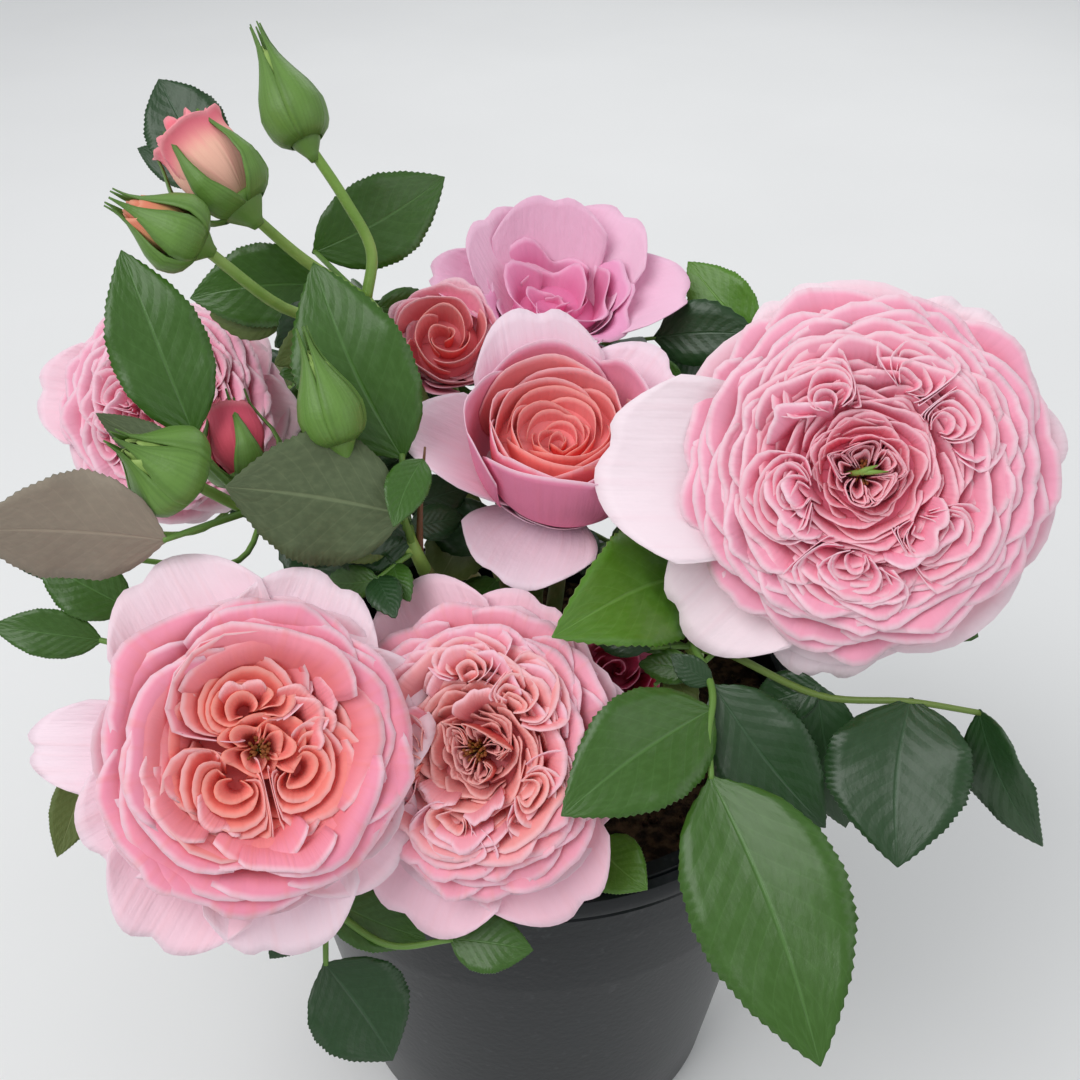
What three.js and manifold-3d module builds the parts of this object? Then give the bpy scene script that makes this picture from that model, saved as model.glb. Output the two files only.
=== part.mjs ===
// A rose bush in bloom in its black nursery pot, in millimetres. The pot stands on z = 0 and the
// show side of the bush faces -Y.
import * as THREE from "three";
import Module from "manifold-3d";

// Clear space between neighbouring pieces
const GAP = 0.3;

// Pot: an outline of [radius, height] pairs up the outside and down the inside
const POT_SIDES = 24;
const FOOT_RADIUS = 72;
const STEP_HEIGHT = 120;
const STEP_RADIUS = 92.5;
const BAND_HEIGHT = 151;
const RIM_RADIUS = 99.5;
const RIM_HEIGHT = 171;
const LIP_RADIUS = 89;
const WALL = 2.4;
const FLOOR = 3;
const SLOTS = 4;
const SLOT_WIDTH = 6;
const SLOT_HEIGHT = 46;
const SLOT_TURN = -48;

// Soil
const SOIL_TOP = 150;
const SOIL_RADIUS = 91.4;

// Trunk and canes
const TRUNK_SIDES = 9;
const TRUNK_PATH = [
  [4, 6, SOIL_TOP + GAP], [4, 6, 153.5], [3, 5, 163], [1, 3, 173], [0, 2, 184], [0, 2, 189],
];
const TRUNK_RADII = [12.5, 11, 9.4, 9, 8.6, 5];
const CANE_SIDES = 6;
const CANE_RINGS = 7;

// The point that the show side of the bush is turned to, and how far a blade of a leaf is thick
const SHOW_POINT = [2, -379, 506];
const BLADE_SHARE = 1 / 55;
const STALK_RADIUS = 0.9;
const LEAFLETS = [[1, 0, 1], [0.66, 1, 0.86], [0.66, -1, 0.86], [0.36, 1, 0.7], [0.36, -1, 0.7]];

// Each cane: [name, turn round the trunk in degrees, height of its root, root radius, tip radius,
// outward reach of its bend, tip place]
const CANES = [
  ["cane_right", -4, 176, 3.6, 2.6, 32, [74, -22, 250]],
  ["cane_low_right", -34, 166, 3.2, 2.3, 30, [52, -38, 218]],
  ["cane_crimson", -66, 178, 2.6, 1.9, 9, [19, -17, 191]],
  ["cane_front_middle", -98, 166, 3.4, 2.5, 20, [-15, -44, 192]],
  ["cane_front_left", -134, 176, 3.5, 2.6, 28, [-58, -56, 205]],
  ["cane_middle_left", -168, 165, 3.2, 2.4, 18, [-34, -30, 246]],
  ["cane_left", 158, 178, 3.3, 2.4, 34, [-98, 58, 222]],
  ["cane_buds", 128, 167, 3.4, 2.5, 16, [-44, 40, 280]],
  ["cane_small", 98, 178, 2.7, 1.9, 16, [-26, 60, 246]],
  ["cane_back", 72, 167, 3.4, 2.4, 22, [8, 66, 246]],
  ["cane_centre", 90, 187, 3.4, 2.6, 2, [1, 6, 224]],
  ["cane_back_right", 34, 178, 3.3, 2.3, 28, [66, 58, 206]],
  ["cane_back_left", 128, 186, 3.0, 2.2, 30, [-62, 84, 212]],
  ["cane_far_right", 14, 165, 3.0, 2.1, 30, [92, 22, 206]],
];

// Each bloom: where its face is, the way it faces, its height from hip to face, its rings of
// petals as [count, edge radius, edge height, scallop], the foot of its cup as [radius, height]
// if it has one, and its loose guard petals as [turn, length, width, foot angle, edge angle, curl]
const BLOOMS = [
  {
    name: "bloom_right", sectors: 26, face: [94, -48, 293], axis: [-0.14, -0.83, 0.54], depth: 30,
    seed: 11, hip: 5.5,
    rings: [[5, 8, 26, 0.3], [5, 17, 29.5, 0.22], [7, 27, 30, 0.1], [8, 37, 28, 0.08], [9, 46, 24, 0.06],
      [10, 54, 17, 0.05]],
    guards: [[184, 79, 58, 70, 78, 4], [228, 70, 50, 78, 88, 8], [263, 62, 44, 80, 94, 10],
      [12, 58, 42, 74, 84, 10], [60, 58, 42, 74, 84, 10], [118, 58, 42, 74, 84, 10]],
  },
  {
    name: "bloom_front_left", sectors: 26, face: [-74, -102, 238], axis: [0.24, -0.70, 0.67], depth: 29,
    seed: 23, hip: 5.5,
    rings: [[4, 9, 20, 0.25], [4, 18, 22, 0.25], [5, 26, 22, 0.12], [7, 33, 29, 0.05], [8, 42, 24, 0.06]],
    guards: [[107, 60, 50, 70, 92, 10], [57, 54, 46, 68, 84, 10], [166, 64, 28, 72, 110, 20],
      [196, 52, 40, 72, 92, 10], [229, 60, 46, 70, 96, 14], [268, 58, 46, 70, 94, 12],
      [308, 52, 46, 68, 88, 10], [4, 52, 44, 66, 80, 10]],
  },
  {
    name: "bloom_front_middle", sectors: 24, face: [-18, -90, 225.5], axis: [-0.2, -0.75, 0.63],
    depth: 26, seed: 37, hip: 5.5,
    rings: [[5, 8, 22, 0.3], [5, 16, 25.5, 0.22], [7, 25, 26, 0.1], [8, 33, 24, 0.08], [9, 41, 18, 0.06]],
    guards: [[126, 54, 44, 78, 88, 10], [258, 57, 46, 78, 90, 12], [308, 54, 46, 78, 90, 10],
      [216, 50, 40, 80, 90, 10], [84, 47, 42, 78, 86, 4], [20, 44, 40, 80, 88, 10]],
  },
  {
    name: "bloom_centre", sectors: 20, face: [9, -9, 294], axis: [0.03, -0.3, 0.95], depth: 48,
    seed: 41, hip: 5,
    rings: [[3, 7, 37, 0.2], [4, 14, 42, 0.15], [5, 20, 45, 0.08], [5, 26, 48, 0.05]], wall: [30, 20],
    guards: [[174, 57, 42, 52, 56, 10], [100, 62, 46, 46, 32, 10], [34, 58, 44, 50, 38, 10],
      [246, 46, 46, 76, 66, 30]],
  },
  {
    name: "bloom_small", sectors: 12, face: [-30, 46, 290], axis: [0.05, -0.66, 0.75], depth: 24,
    seed: 71, hip: 4,
    rings: [[4, 6, 21, 0.2], [5, 11, 24, 0.08], [6, 16, 20, 0.06]],
    guards: [[160, 26, 24, 60, 40, 10], [70, 26, 24, 60, 40, 10], [340, 26, 24, 60, 40, 10]],
  },
  {
    name: "bloom_back", sectors: 20, face: [8, 73, 300], axis: [0.06, -0.30, 0.95], depth: 32,
    seed: 53, hip: 4.5,
    rings: [[3, 7, 22, 0.2], [4, 14, 26, 0.15], [5, 20, 28, 0.06]],
    guards: [[168, 50, 36, 58, 58, 10], [130, 48, 42, 54, 30, 10], [86, 48, 44, 50, 24, 10],
      [40, 50, 42, 56, 44, 10], [352, 52, 40, 60, 64, 10], [262, 50, 44, 66, 76, 14]],
  },
  {
    name: "bloom_left", sectors: 22, face: [-133, 56, 256], axis: [-0.02, -0.78, 0.62], depth: 26,
    seed: 67, hip: 5,
    rings: [[5, 8, 22, 0.3], [5, 16, 25, 0.22], [7, 25, 25, 0.1], [8, 34, 22, 0.08], [9, 39, 16, 0.06]],
    guards: [[172, 52, 40, 78, 90, 10], [225, 42, 38, 78, 92, 10], [112, 44, 40, 78, 88, 10],
      [50, 42, 40, 78, 88, 10], [350, 46, 40, 78, 88, 10], [288, 41, 40, 78, 92, 10]],
  },
  {
    name: "bloom_crimson", sectors: 12, face: [27, -44, 217], axis: [0.12, -0.70, 0.70], depth: 22,
    seed: 83, hip: 3.6,
    rings: [[3, 4, 21, 0.2], [4, 8, 22, 0.1], [5, 12, 17, 0.08]],
    guards: [[150, 24, 18, 44, 10, 8], [40, 24, 18, 44, 14, 8], [280, 24, 18, 44, 10, 8]],
  },
];

// Each leafy shoot: its cane, the places its stem passes, its stem radii, a bloom that it carries,
// stalks as places from the stem out, blades as [foot, tip, width, roll], buds as
// [foot, tip, radius], and how many wild leaves it grows along the stem
const SHOOTS = [
  {
    name: "shoot_right", cane: "cane_right", stem: [[88, -15, 258]], radii: [2.6, 2.3],
    bloom: "bloom_right", stalks: [], blades: [], buds: [], wild: [4, 101, 40],
  },
  {
    name: "shoot_low_right", cane: "cane_low_right", stem: [[49, -46, 228], [60, -52, 230]],
    radii: [2.2, 1.3],
    stalks: [[[49, -47, 230], [53, -68, 229], [51, -81, 224], [51, -93, 218]],
      [[60, -52, 230], [87, -62, 222], [112, -69, 226], [131, -75, 227]],
      [[49, -46, 229], [54, -30, 226], [58, -11, 230]]],
    blades: [[[58, -11, 230], [6, -75, 256], 38, 0], [[52.3, -64, 229.4], [41, -58, 235], 9, 0],
      [[52, -74, 227], [8, -107, 218], 34, 0], [[51, -93, 218], [77, -156, 174], 45, 0],
      [[54, -66, 229], [86, -93, 198], 30, 0], [[112, -69, 226], [104, -108, 198], 42, 0],
      [[131, -75, 227], [146, -103, 201], 26, 50], [[86, -60, 224], [96, -80, 184], 23, 0],
      [[86, -60, 224], [67, -57, 213], 16, 0]],
    buds: [], wild: [3, 103, 34],
  },
  {
    name: "shoot_front_left", cane: "cane_front_left", stem: [[-72, -68, 211]], radii: [2.6, 2.3],
    bloom: "bloom_front_left",
    stalks: [[[-66, -63, 208], [-68, -78, 190], [-64, -93, 170], [-63, -108, 154]],
      [[-72, -68, 211], [-104, -66, 208], [-134, -76, 207]],
      [[-66, -62, 208], [-95, -50, 222], [-124, -42, 240]], [[-95, -50, 222], [-132, -50, 234]],
      [[-64, -95, 167], [-44, -105, 160], [-24, -107, 165]]],
    blades: [[[-63, -108, 154], [-43, -123, 128], 32, 0], [[-65, -94, 169], [-80, -107, 156], 16, 0],
      [[-64, -93, 168], [-33, -99, 155], 19, 0], [[-134, -76, 207], [-140, -98, 191], 14, 0],
      [[-124, -42, 240], [-151, -36, 255], 20, 0], [[-132, -50, 234], [-163, -52, 241], 15, 0],
      [[-24, -107, 165], [0, -111, 165], 18, 0]],
    buds: [], wild: [3, 107, 36],
  },
  {
    name: "shoot_front_middle", cane: "cane_front_middle", stem: [[-19, -53, 199]], radii: [2.5, 2.3],
    bloom: "bloom_front_middle",
    stalks: [[[-17, -48, 195], [6, -66, 188], [20, -82, 179]]],
    blades: [[[20, -82, 179], [34, -99, 178], 19, 0]],
    buds: [], wild: [3, 109, 34],
  },
  {
    name: "shoot_middle_left", cane: "cane_middle_left", stem: [[-36, -34, 256], [-42, -26, 266]],
    radii: [2.3, 1.8],
    stalks: [[[-42, -26, 265], [-47, -28, 280], [-56, -30, 292]],
      [[-36, -34, 256], [-62, -34, 262], [-84, -36, 272], [-98, -41, 285]],
      [[-40, -28, 262], [-64, -24, 262], [-86, -22, 272]],
      [[-37, -33, 258], [-38, -41, 274]], [[-35, -32, 252], [-34, -30, 270], [-32, -26, 288]],
      [[-80, -35, 269], [-100, -26, 288], [-100, -25, 293]], [[-84, -36, 272], [-104, -58, 277]],
      [[-40, -27, 262], [-40, -17, 280]]],
    blades: [[[-100, -25, 292], [-120, 2, 338], 29, 0], [[-40, -17, 279], [-66, 11, 330], 36, 0],
      [[-38, -41, 274], [-86, -52, 291], 40, 180], [[-104, -58, 277], [-150, -76, 293], 35, 150],
      [[-98, -41, 285], [-125, -32, 303], 13, 180], [[-33, -28, 284], [-40, -50, 276], 13, 0],
      [[-38, -34, 259], [-67, -36, 260], 18, 0], [[-39.5, -31.5, 262], [-63, -46, 262], 13, 0]],
    buds: [[[-56, -30, 292], [-65, -18, 317], 8.2], [[-99, -41.5, 286], [-113, -49, 303], 11.5],
      [[-87, -22, 273], [-95, -4, 293], 10.5]],
    wild: [1, 113, 30],
  },
  {
    name: "shoot_left", cane: "cane_left", stem: [[-118, 82, 223]], radii: [2.4, 2.1],
    bloom: "bloom_left",
    stalks: [[[-102, 61, 224], [-124, 50, 205], [-150, 38, 212]],
      [[-99, 59, 222], [-104, 18, 214], [-140, -5, 232]]],
    blades: [[[-150, 38, 212], [-184, 33, 220], 20, 0], [[-140, -5, 232], [-171, -18, 243], 14, 0]],
    buds: [], wild: [3, 127, 34],
  },
  {
    name: "shoot_buds", cane: "cane_buds", stem: [[-50, 45, 292], [-56, 48, 300]], radii: [2.4, 2.0],
    stalks: [[[-56, 48, 300], [-54, 55, 314], [-62, 60, 330], [-74, 67, 347]],
      [[-56, 48, 300], [-74, 40, 318], [-89, 31, 339]], [[-56, 48, 299], [-75, 22, 308], [-99, 10, 336]],
      [[-56, 48, 299], [-77, 80, 303]], [[-52, 46, 295], [-71, 55, 302]],
      [[-74, 40, 317.5], [-92, 62, 322], [-108, 77, 333]]],
    blades: [[[-77, 80, 303], [-32, 104, 321], 31, 0], [[-108, 77, 333], [-127, 97, 358], 28, 0],
      [[-106, 74, 331], [-135, 86, 338], 14, 0], [[-71, 55, 302], [-115, 49, 300], 28, 0]],
    buds: [[[-74, 67, 347], [-88, 85, 373], 9, 3], [[-89, 31, 339], [-111, 42, 364], 12.5, 2],
      [[-99, 10, 336], [-119, 7, 350], 10]],
    wild: [1, 131, 30],
  },
  {
    name: "shoot_small", cane: "cane_small", stem: [[-29, 66, 254]], radii: [1.9, 1.7],
    bloom: "bloom_small", stalks: [[[-27, 62, 249], [-38, 76, 266]]],
    blades: [[[-38, 76, 266], [-56, 70, 289], 18, 0]], buds: [], wild: [2, 137, 30],
  },
  {
    name: "shoot_back", cane: "cane_back", stem: [[7, 74, 256]], radii: [2.4, 2.1], bloom: "bloom_back",
    stalks: [[[8, 68, 249], [44, 80, 258], [79, 74, 272]], [[8, 67, 247], [30, 56, 258], [50, 46, 272]]],
    blades: [[[79, 74, 272], [56, 96, 292], 23, 0], [[63, 77, 265], [42, 68, 264], 20, 0],
      [[50, 46, 272], [32, 44, 278], 11, 0]],
    buds: [], wild: [2, 139, 34],
  },
  {
    name: "shoot_centre", cane: "cane_centre", stem: [], radii: [2.6, 2.4], bloom: "bloom_centre",
    stalks: [], blades: [], buds: [], wild: [3, 149, 36],
  },
  {
    name: "shoot_crimson", cane: "cane_crimson", stem: [], radii: [1.9, 1.7], bloom: "bloom_crimson",
    stalks: [], blades: [], buds: [], wild: [2, 151, 32],
  },
  {
    name: "shoot_back_right", cane: "cane_back_right", stem: [[88, 76, 218], [106, 92, 226]],
    radii: [2.3, 1.2], stalks: [], blades: [], buds: [], wild: [7, 157, 42],
  },
  {
    name: "shoot_back_left", cane: "cane_back_left", stem: [[-84, 104, 220], [-100, 120, 226]],
    radii: [2.2, 1.2], stalks: [], blades: [], buds: [], wild: [7, 163, 42],
  },
  {
    name: "shoot_far_right", cane: "cane_far_right", stem: [[112, 28, 216], [128, 32, 226]],
    radii: [2.1, 1.2], stalks: [], blades: [], buds: [], wild: [7, 167, 42],
  },
];

// Space of the crown for wild leaves, inner hollows between the blooms as [place, radius], and
// leafy places that screen what is behind them
const CROWN = { middle: [0, 10, 225], reach: [172, 165, 92] };
const HOLLOWS = [[[44, -24, 222], 36], [[-42, -26, 244], 34], [[-100, 40, 300], 30], [[40, 60, 262], 30]];
const SCREENS = [[[-52, -3, 305], 30], [[-62, -46, 282], 28], [[-45, 55, 290], 34], [[-100, 40, 300], 30]];
const LOWEST_LEAF = 158;

const wasm = await Module();
wasm.setup();

const vec = (p) => new THREE.Vector3(...p);
const mix = (a, b, t) => a + (b - a) * t;
const rad = (degrees) => (degrees * Math.PI) / 180;
const showPoint = vec(SHOW_POINT);

// Repeatable numbers from 0 to 1
function numbers(seed) {
  let state = seed >>> 0;
  return () => {
    state = (Math.imul(state, 1664525) + 1013904223) >>> 0;
    return state / 4294967296;
  };
}

// One closed solid from points and triangles, turned right side out
function closed(points, faces) {
  const vertProperties = new Float32Array(points.flatMap((p) => [p.x, p.y, p.z]));
  const build = (list) => new wasm.Manifold(new wasm.Mesh({
    numProp: 3, vertProperties, triVerts: new Uint32Array(list.flat()),
  }));
  const solid = build(faces);
  return solid.volume() >= 0 ? solid : build(faces.map(([a, b, c]) => [a, c, b]));
}

function quads(columns, rows, index) {
  const faces = [];
  for (let j = 0; j < rows; j++) {
    for (let i = 0; i < columns; i++) {
      const [a, b, c, d] = [index(i, j), index(i + 1, j), index(i + 1, j + 1), index(i, j + 1)];
      faces.push([a, b, c], [a, c, d]);
    }
  }
  return faces;
}

// A limb with flat ends along a path, its radius given at each place of the path
function limb(path, radii, sides) {
  const spots = path.map((p) => (p.isVector3 ? p.clone() : vec(p)));
  const last = spots.length - 1;
  const points = [];
  const along = spots[1].clone().sub(spots[0]).normalize();
  let side = new THREE.Vector3(0, 0, 1).cross(along);
  if (side.length() < 0.1) side = new THREE.Vector3(1, 0, 0);
  spots.forEach((spot, i) => {
    const ahead = spots[Math.min(last, i + 1)].clone().sub(spots[Math.max(0, i - 1)]).normalize();
    side = side.clone().addScaledVector(ahead, -side.dot(ahead)).normalize();
    const other = ahead.clone().cross(side);
    for (let k = 0; k < sides; k++) {
      const turn = (2 * Math.PI * k) / sides;
      points.push(spot.clone()
        .addScaledVector(side, radii[i] * Math.cos(turn))
        .addScaledVector(other, radii[i] * Math.sin(turn)));
    }
  });
  const faces = quads(sides, last, (i, j) => j * sides + (i % sides));
  for (let k = 1; k < sides - 1; k++) {
    faces.push([0, k + 1, k], [last * sides, last * sides + k, last * sides + k + 1]);
  }
  return closed(points, faces);
}

// Places along a smooth curve through the given ones
function curve(path, count) {
  return new THREE.CatmullRomCurve3(path.map(vec)).getPoints(count - 1);
}

const taper = (from, to, count) => Array.from({ length: count }, (_, i) => mix(from, to, i / (count - 1)));

// A solid of revolution round the Z axis from a ring of [radius, height] pairs off the axis
function turned(outline, sides) {
  const points = outline.flatMap(([r, z]) => Array.from({ length: sides }, (_, k) => {
    const turn = (2 * Math.PI * k) / sides;
    return new THREE.Vector3(r * Math.cos(turn), r * Math.sin(turn), z);
  }));
  return closed(points, quads(sides, outline.length, (i, j) => (j % outline.length) * sides + (i % sides)));
}

// A plain round disc or cone frustum between heights, from its radii
function drum(levels, sides) {
  return limb(levels.map(([, z]) => [0, 0, z]), levels.map(([r]) => r), sides);
}

// A leaf blade: eight rim points, or four for a wild leaf, and a middle that arches
function blade(foot, tip, width, roll, full) {
  const start = vec(foot);
  const along = vec(tip).sub(start);
  const length = along.length();
  along.normalize();
  const look = showPoint.clone().sub(start).normalize();
  const up = look.addScaledVector(along, -look.dot(along)).normalize().applyAxisAngle(along, rad(roll));
  const side = along.clone().cross(up);
  start.addScaledVector(along, -1.2);
  const reach = length + 1.2;
  const rim = full
    ? [[0, 0], [0.16, 0.66], [0.45, 1], [0.76, 0.64], [1, 0], [0.76, -0.64], [0.45, -1], [0.16, -0.66]]
    : [[0, 0], [0.42, 0.96], [1, 0], [0.42, -0.96]];
  const arch = 0.05 * length;
  const place = (f, w, lift) => start.clone()
    .addScaledVector(along, f * reach)
    .addScaledVector(side, (w * width) / 2)
    .addScaledVector(up, 4 * arch * f * (1 - f) + Math.abs(w) * width * 0.06 + lift);
  const thick = Math.max(0.7, length * BLADE_SHARE);
  const points = rim.map(([f, w]) => place(f, w, 0));
  points.push(place(0.45, 0, thick / 2), place(0.45, 0, -thick / 2));
  const n = rim.length;
  const faces = rim.flatMap((_, k) => [[k, (k + 1) % n, n], [(k + 1) % n, k, n + 1]]);
  return closed(points, faces);
}

// A petal round the bloom's axis: its midrib bends from one angle to another, its sides cup
function petal({ turn, foot, lift, length, width, from, to, curl }) {
  const round = 0.9 * width;
  const steps = 12;
  const rib = [[foot, lift]];
  for (let k = 0; k < steps; k++) {
    const v = (k + 0.5) / steps;
    const lean = rad(mix(from, to, v) + curl * v ** 5);
    const [r, z] = rib[k];
    rib.push([r + (Math.sin(lean) * length) / steps, z + (Math.cos(lean) * length) / steps]);
  }
  return (u, v) => {
    const f = v * (1 - 0.3 * Math.abs(u) ** 2.4 * v ** 1.5);
    const k = Math.min(steps - 1, Math.floor(f * steps));
    const part = f * steps - k;
    const lean = rad(mix(from, to, f) + curl * f ** 5);
    const across = 0.5 * width * u * (0.22 + 0.78 * Math.sin(Math.min(1, f / 0.72) * Math.PI / 2));
    const rise = round * (1 - Math.cos(across / round)) + 1.5 * f * f * Math.sin(4 * u + turn);
    const side = round * Math.sin(across / round);
    const r = mix(rib[k][0], rib[k + 1][0], part) - Math.cos(lean) * rise;
    const z = mix(rib[k][1], rib[k + 1][1], part) + Math.sin(lean) * rise;
    return new THREE.Vector3(
      r * Math.cos(turn) - side * Math.sin(turn), r * Math.sin(turn) + side * Math.cos(turn), z,
    );
  };
}

// The outline of the guard petals round the bloom: for each sector the edge that reaches furthest,
// as radius and height
function brim(bloom, sectors, least, height) {
  const spots = Array.from({ length: sectors }, () => ({ r: least, z: height }));
  bloom.guards.forEach(([turn, length, width, from, to, curl]) => {
    const at = petal({ turn: rad(turn), foot: 2, lift: 1, length, width, from, to, curl });
    for (let i = -20; i <= 20; i++) {
      [1, 0.9, 0.8, 0.7, 0.6].forEach((v) => {
        const p = at(i / 20, v);
        const share = Math.atan2(p.y, p.x) / (2 * Math.PI) + 1;
        const spot = spots[Math.round(share * sectors) % sectors];
        const r = Math.hypot(p.x, p.y);
        if (r > spot.r) Object.assign(spot, { r, z: p.z });
      });
    }
  });
  return spots;
}

// A bloom as one body: rings of petal edges that stand over the gaps between them, the brim of
// guard petals, and the hip below
function bloomSolid(bloom) {
  const { up, right, top, seat } = facing(bloom);
  const sectors = bloom.sectors;
  const random = numbers(bloom.seed);
  const rows = [];
  const plain = (r, z) => rows.push(() => [r, z]);
  let last = [0, 0];
  bloom.rings.forEach(([count, edge, height, scallop], n) => {
    const phase = 2 * Math.PI * random();
    const swell = (turn) => scallop * Math.cos(count * turn + phase);
    const next = bloom.rings[n + 1] ? bloom.rings[n + 1][1] - edge : 10;
    rows.push((turn) => [edge * (1 + swell(turn)), height + 0.5 * swell(turn) * edge]);
    last = [edge * (1 + scallop) + 1.2, height - Math.min(6, 0.4 * next)];
    const drop = height - last[1];
    rows.push((turn) => [edge * (1 + swell(turn)) + 1.2, height + 0.5 * swell(turn) * edge - drop]);
  });
  if (bloom.wall) {
    last = bloom.wall;
    plain(...last);
  }
  const [wide, low] = last;
  const edges = brim(bloom, sectors, wide + 1.5, low - 4);
  rows.push((turn, k) => [edges[k].r, edges[k].z]);
  plain(wide * 0.9, Math.max(2, low - 9));
  plain(Math.max(bloom.hip * 1.8, wide * 0.5), low * 0.3);
  plain(bloom.hip * 1.5, 0);
  plain(bloom.hip, -bloom.hip);
  plain(bloom.hip * 0.62, -bloom.hip * 1.5);
  const place = (x, y, z) => seat.clone().addScaledVector(right, x).addScaledVector(top, y)
    .addScaledVector(up, z);
  const points = rows.flatMap((row) => Array.from({ length: sectors }, (_, k) => {
    const turn = (2 * Math.PI * k) / sectors;
    const [r, z] = row(turn, k);
    return place(r * Math.cos(turn), r * Math.sin(turn), z);
  }));
  const rim = rows.length - 1;
  const faces = quads(sectors, rim, (i, j) => j * sectors + (i % sectors));
  const eye = points.push(place(0, 0, bloom.rings[0][2] - 4)) - 1;
  const end = points.push(place(0, 0, -bloom.hip * 1.5)) - 1;
  for (let k = 0; k < sectors; k++) {
    const next = (k + 1) % sectors;
    faces.push([eye, next, k], [end, rim * sectors + k, rim * sectors + next]);
  }
  return closed(points, faces);
}

function facing(bloom) {
  const up = vec(bloom.axis).normalize();
  const right = new THREE.Vector3(0, 0, 1).cross(up).normalize();
  const top = up.clone().cross(right);
  const seat = vec(bloom.face).addScaledVector(up, -bloom.depth);
  return { up, right, top, seat };
}

function joined(solids) {
  const parts = wasm.Manifold.union(solids).simplify(0.12).decompose();
  const bodies = parts.filter((p) => p.volume() > 0).sort((a, b) => b.volume() - a.volume());
  return bodies[0];
}

// A bud with its sepals as ridges round it, and free sepal tips
function budSolids([foot, tip, radius, tips = 0]) {
  const base = vec(foot);
  const axis = vec(tip).sub(base);
  const length = axis.length();
  axis.normalize();
  const side = new THREE.Vector3(0, 0, 1).cross(axis).normalize();
  const other = axis.clone().cross(side);
  const sectors = 8;
  const spot = (f, r, turn) => base.clone().addScaledVector(axis, f * length)
    .addScaledVector(side, r * radius * Math.cos(turn)).addScaledVector(other, r * radius * Math.sin(turn));
  const levels = [
    [-0.16, 0.26], [-0.03, 0.52], [0.06, 0.5], [0.3, 1], [0.55, 0.92], [0.8, 0.45], [0.99, 0.1],
  ];
  const points = levels.flatMap(([f, r]) => Array.from({ length: sectors }, (_, k) => (
    spot(f, r * (k % 2 ? 0.9 : 1), (2 * Math.PI * k) / sectors)
  )));
  const faces = quads(sectors, levels.length - 1, (i, j) => j * sectors + (i % sectors));
  const last = (levels.length - 1) * sectors;
  for (let k = 1; k < sectors - 1; k++) faces.push([0, k + 1, k], [last, last + k, last + k + 1]);
  const solids = [closed(points, faces)];
  for (let k = 0; k < tips; k++) {
    const turn = (4 * Math.PI * k) / 5;
    const path = [spot(0.6, 0.72, turn), spot(0.88, 0.5, turn), spot(1.06, 0.62, turn)];
    solids.push(limb(path, [radius * 0.2, radius * 0.16, 0.3], 3));
  }
  return solids;
}

// The seeded rule for the other leaves: places round each stem, blades that keep out of the blooms
// and stay behind them from the show side
const screens = SCREENS.map(([place, reach]) => ({ middle: vec(place), reach }));
const covers = BLOOMS.map((bloom) => {
  const { up } = facing(bloom);
  const reach = 0.95 * bloom.rings[bloom.rings.length - 1][1];
  return { middle: vec(bloom.face).addScaledVector(up, -bloom.depth * 0.45), reach };
});

function isFree(spot, reach) {
  const crown = vec(CROWN.middle);
  const away = spot.clone().sub(crown);
  const share = Math.hypot(...away.toArray().map((a, i) => a / CROWN.reach[i]));
  if (share > 1 || spot.z - reach * 0.6 < LOWEST_LEAF) return false;
  if (covers.some((c) => c.middle.distanceTo(spot) < c.reach * 0.85 + reach * 0.4)) return false;
  if (HOLLOWS.some(([p, radius]) => vec(p).distanceTo(spot) < radius)) return true;
  const ray = spot.clone().sub(showPoint);
  const far = ray.length();
  return [...covers, ...screens].some((c) => {
    const line = c.middle.clone().sub(showPoint);
    return far > line.length() && ray.angleTo(line) + (0.4 * reach) / far < c.reach / line.length();
  });
}

function wildLeaves(path, [count, seed, size]) {
  const random = numbers(seed);
  const leaves = [];
  const total = path.length - 1;
  for (let k = 0; k < count; k++) {
    const f = ((k + 0.5) / count) * total;
    const i = Math.min(total - 1, Math.floor(f));
    const node = path[i].clone().lerp(path[i + 1], f - i);
    const turn = rad(137.5 * k + 360 * random());
    const rise = mix(-0.25, 0.55, random());
    const out = new THREE.Vector3(Math.cos(turn), Math.sin(turn), rise).normalize();
    const long = size * mix(0.85, 1.15, random());
    const droop = mix(0.1, 0.45, random());
    const along = (t) => node.clone()
      .addScaledVector(out, t * long * 2.1)
      .add(new THREE.Vector3(0, 0, -droop * long * t * t * 1.4));
    const side = new THREE.Vector3(-Math.sin(turn), Math.cos(turn), 0);
    const blades = [];
    LEAFLETS.forEach(([t, way, part]) => {
      const foot = along(t * 0.55);
      const ahead = along(t * 0.55 + 0.1).sub(foot).normalize();
      const aim = ahead.multiplyScalar(way ? 0.45 : 1).addScaledVector(side, way).normalize();
      const tip = foot.clone().addScaledVector(aim, long * part);
      tip.z -= long * part * 0.22 * random();
      const middle = foot.clone().lerp(tip, 0.5);
      if (isFree(middle, long * part * 0.5)) blades.push([foot, tip, long * part * 0.62, t]);
    });
    if (blades.length) {
      const reach = Math.max(...blades.map((b) => b[3])) * 0.55;
      leaves.push({ stalk: [0, 0.5, 1].map((t) => along(t * reach)), blades });
    }
  }
  return leaves;
}

const group = new THREE.Group();
const made = [];

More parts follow.
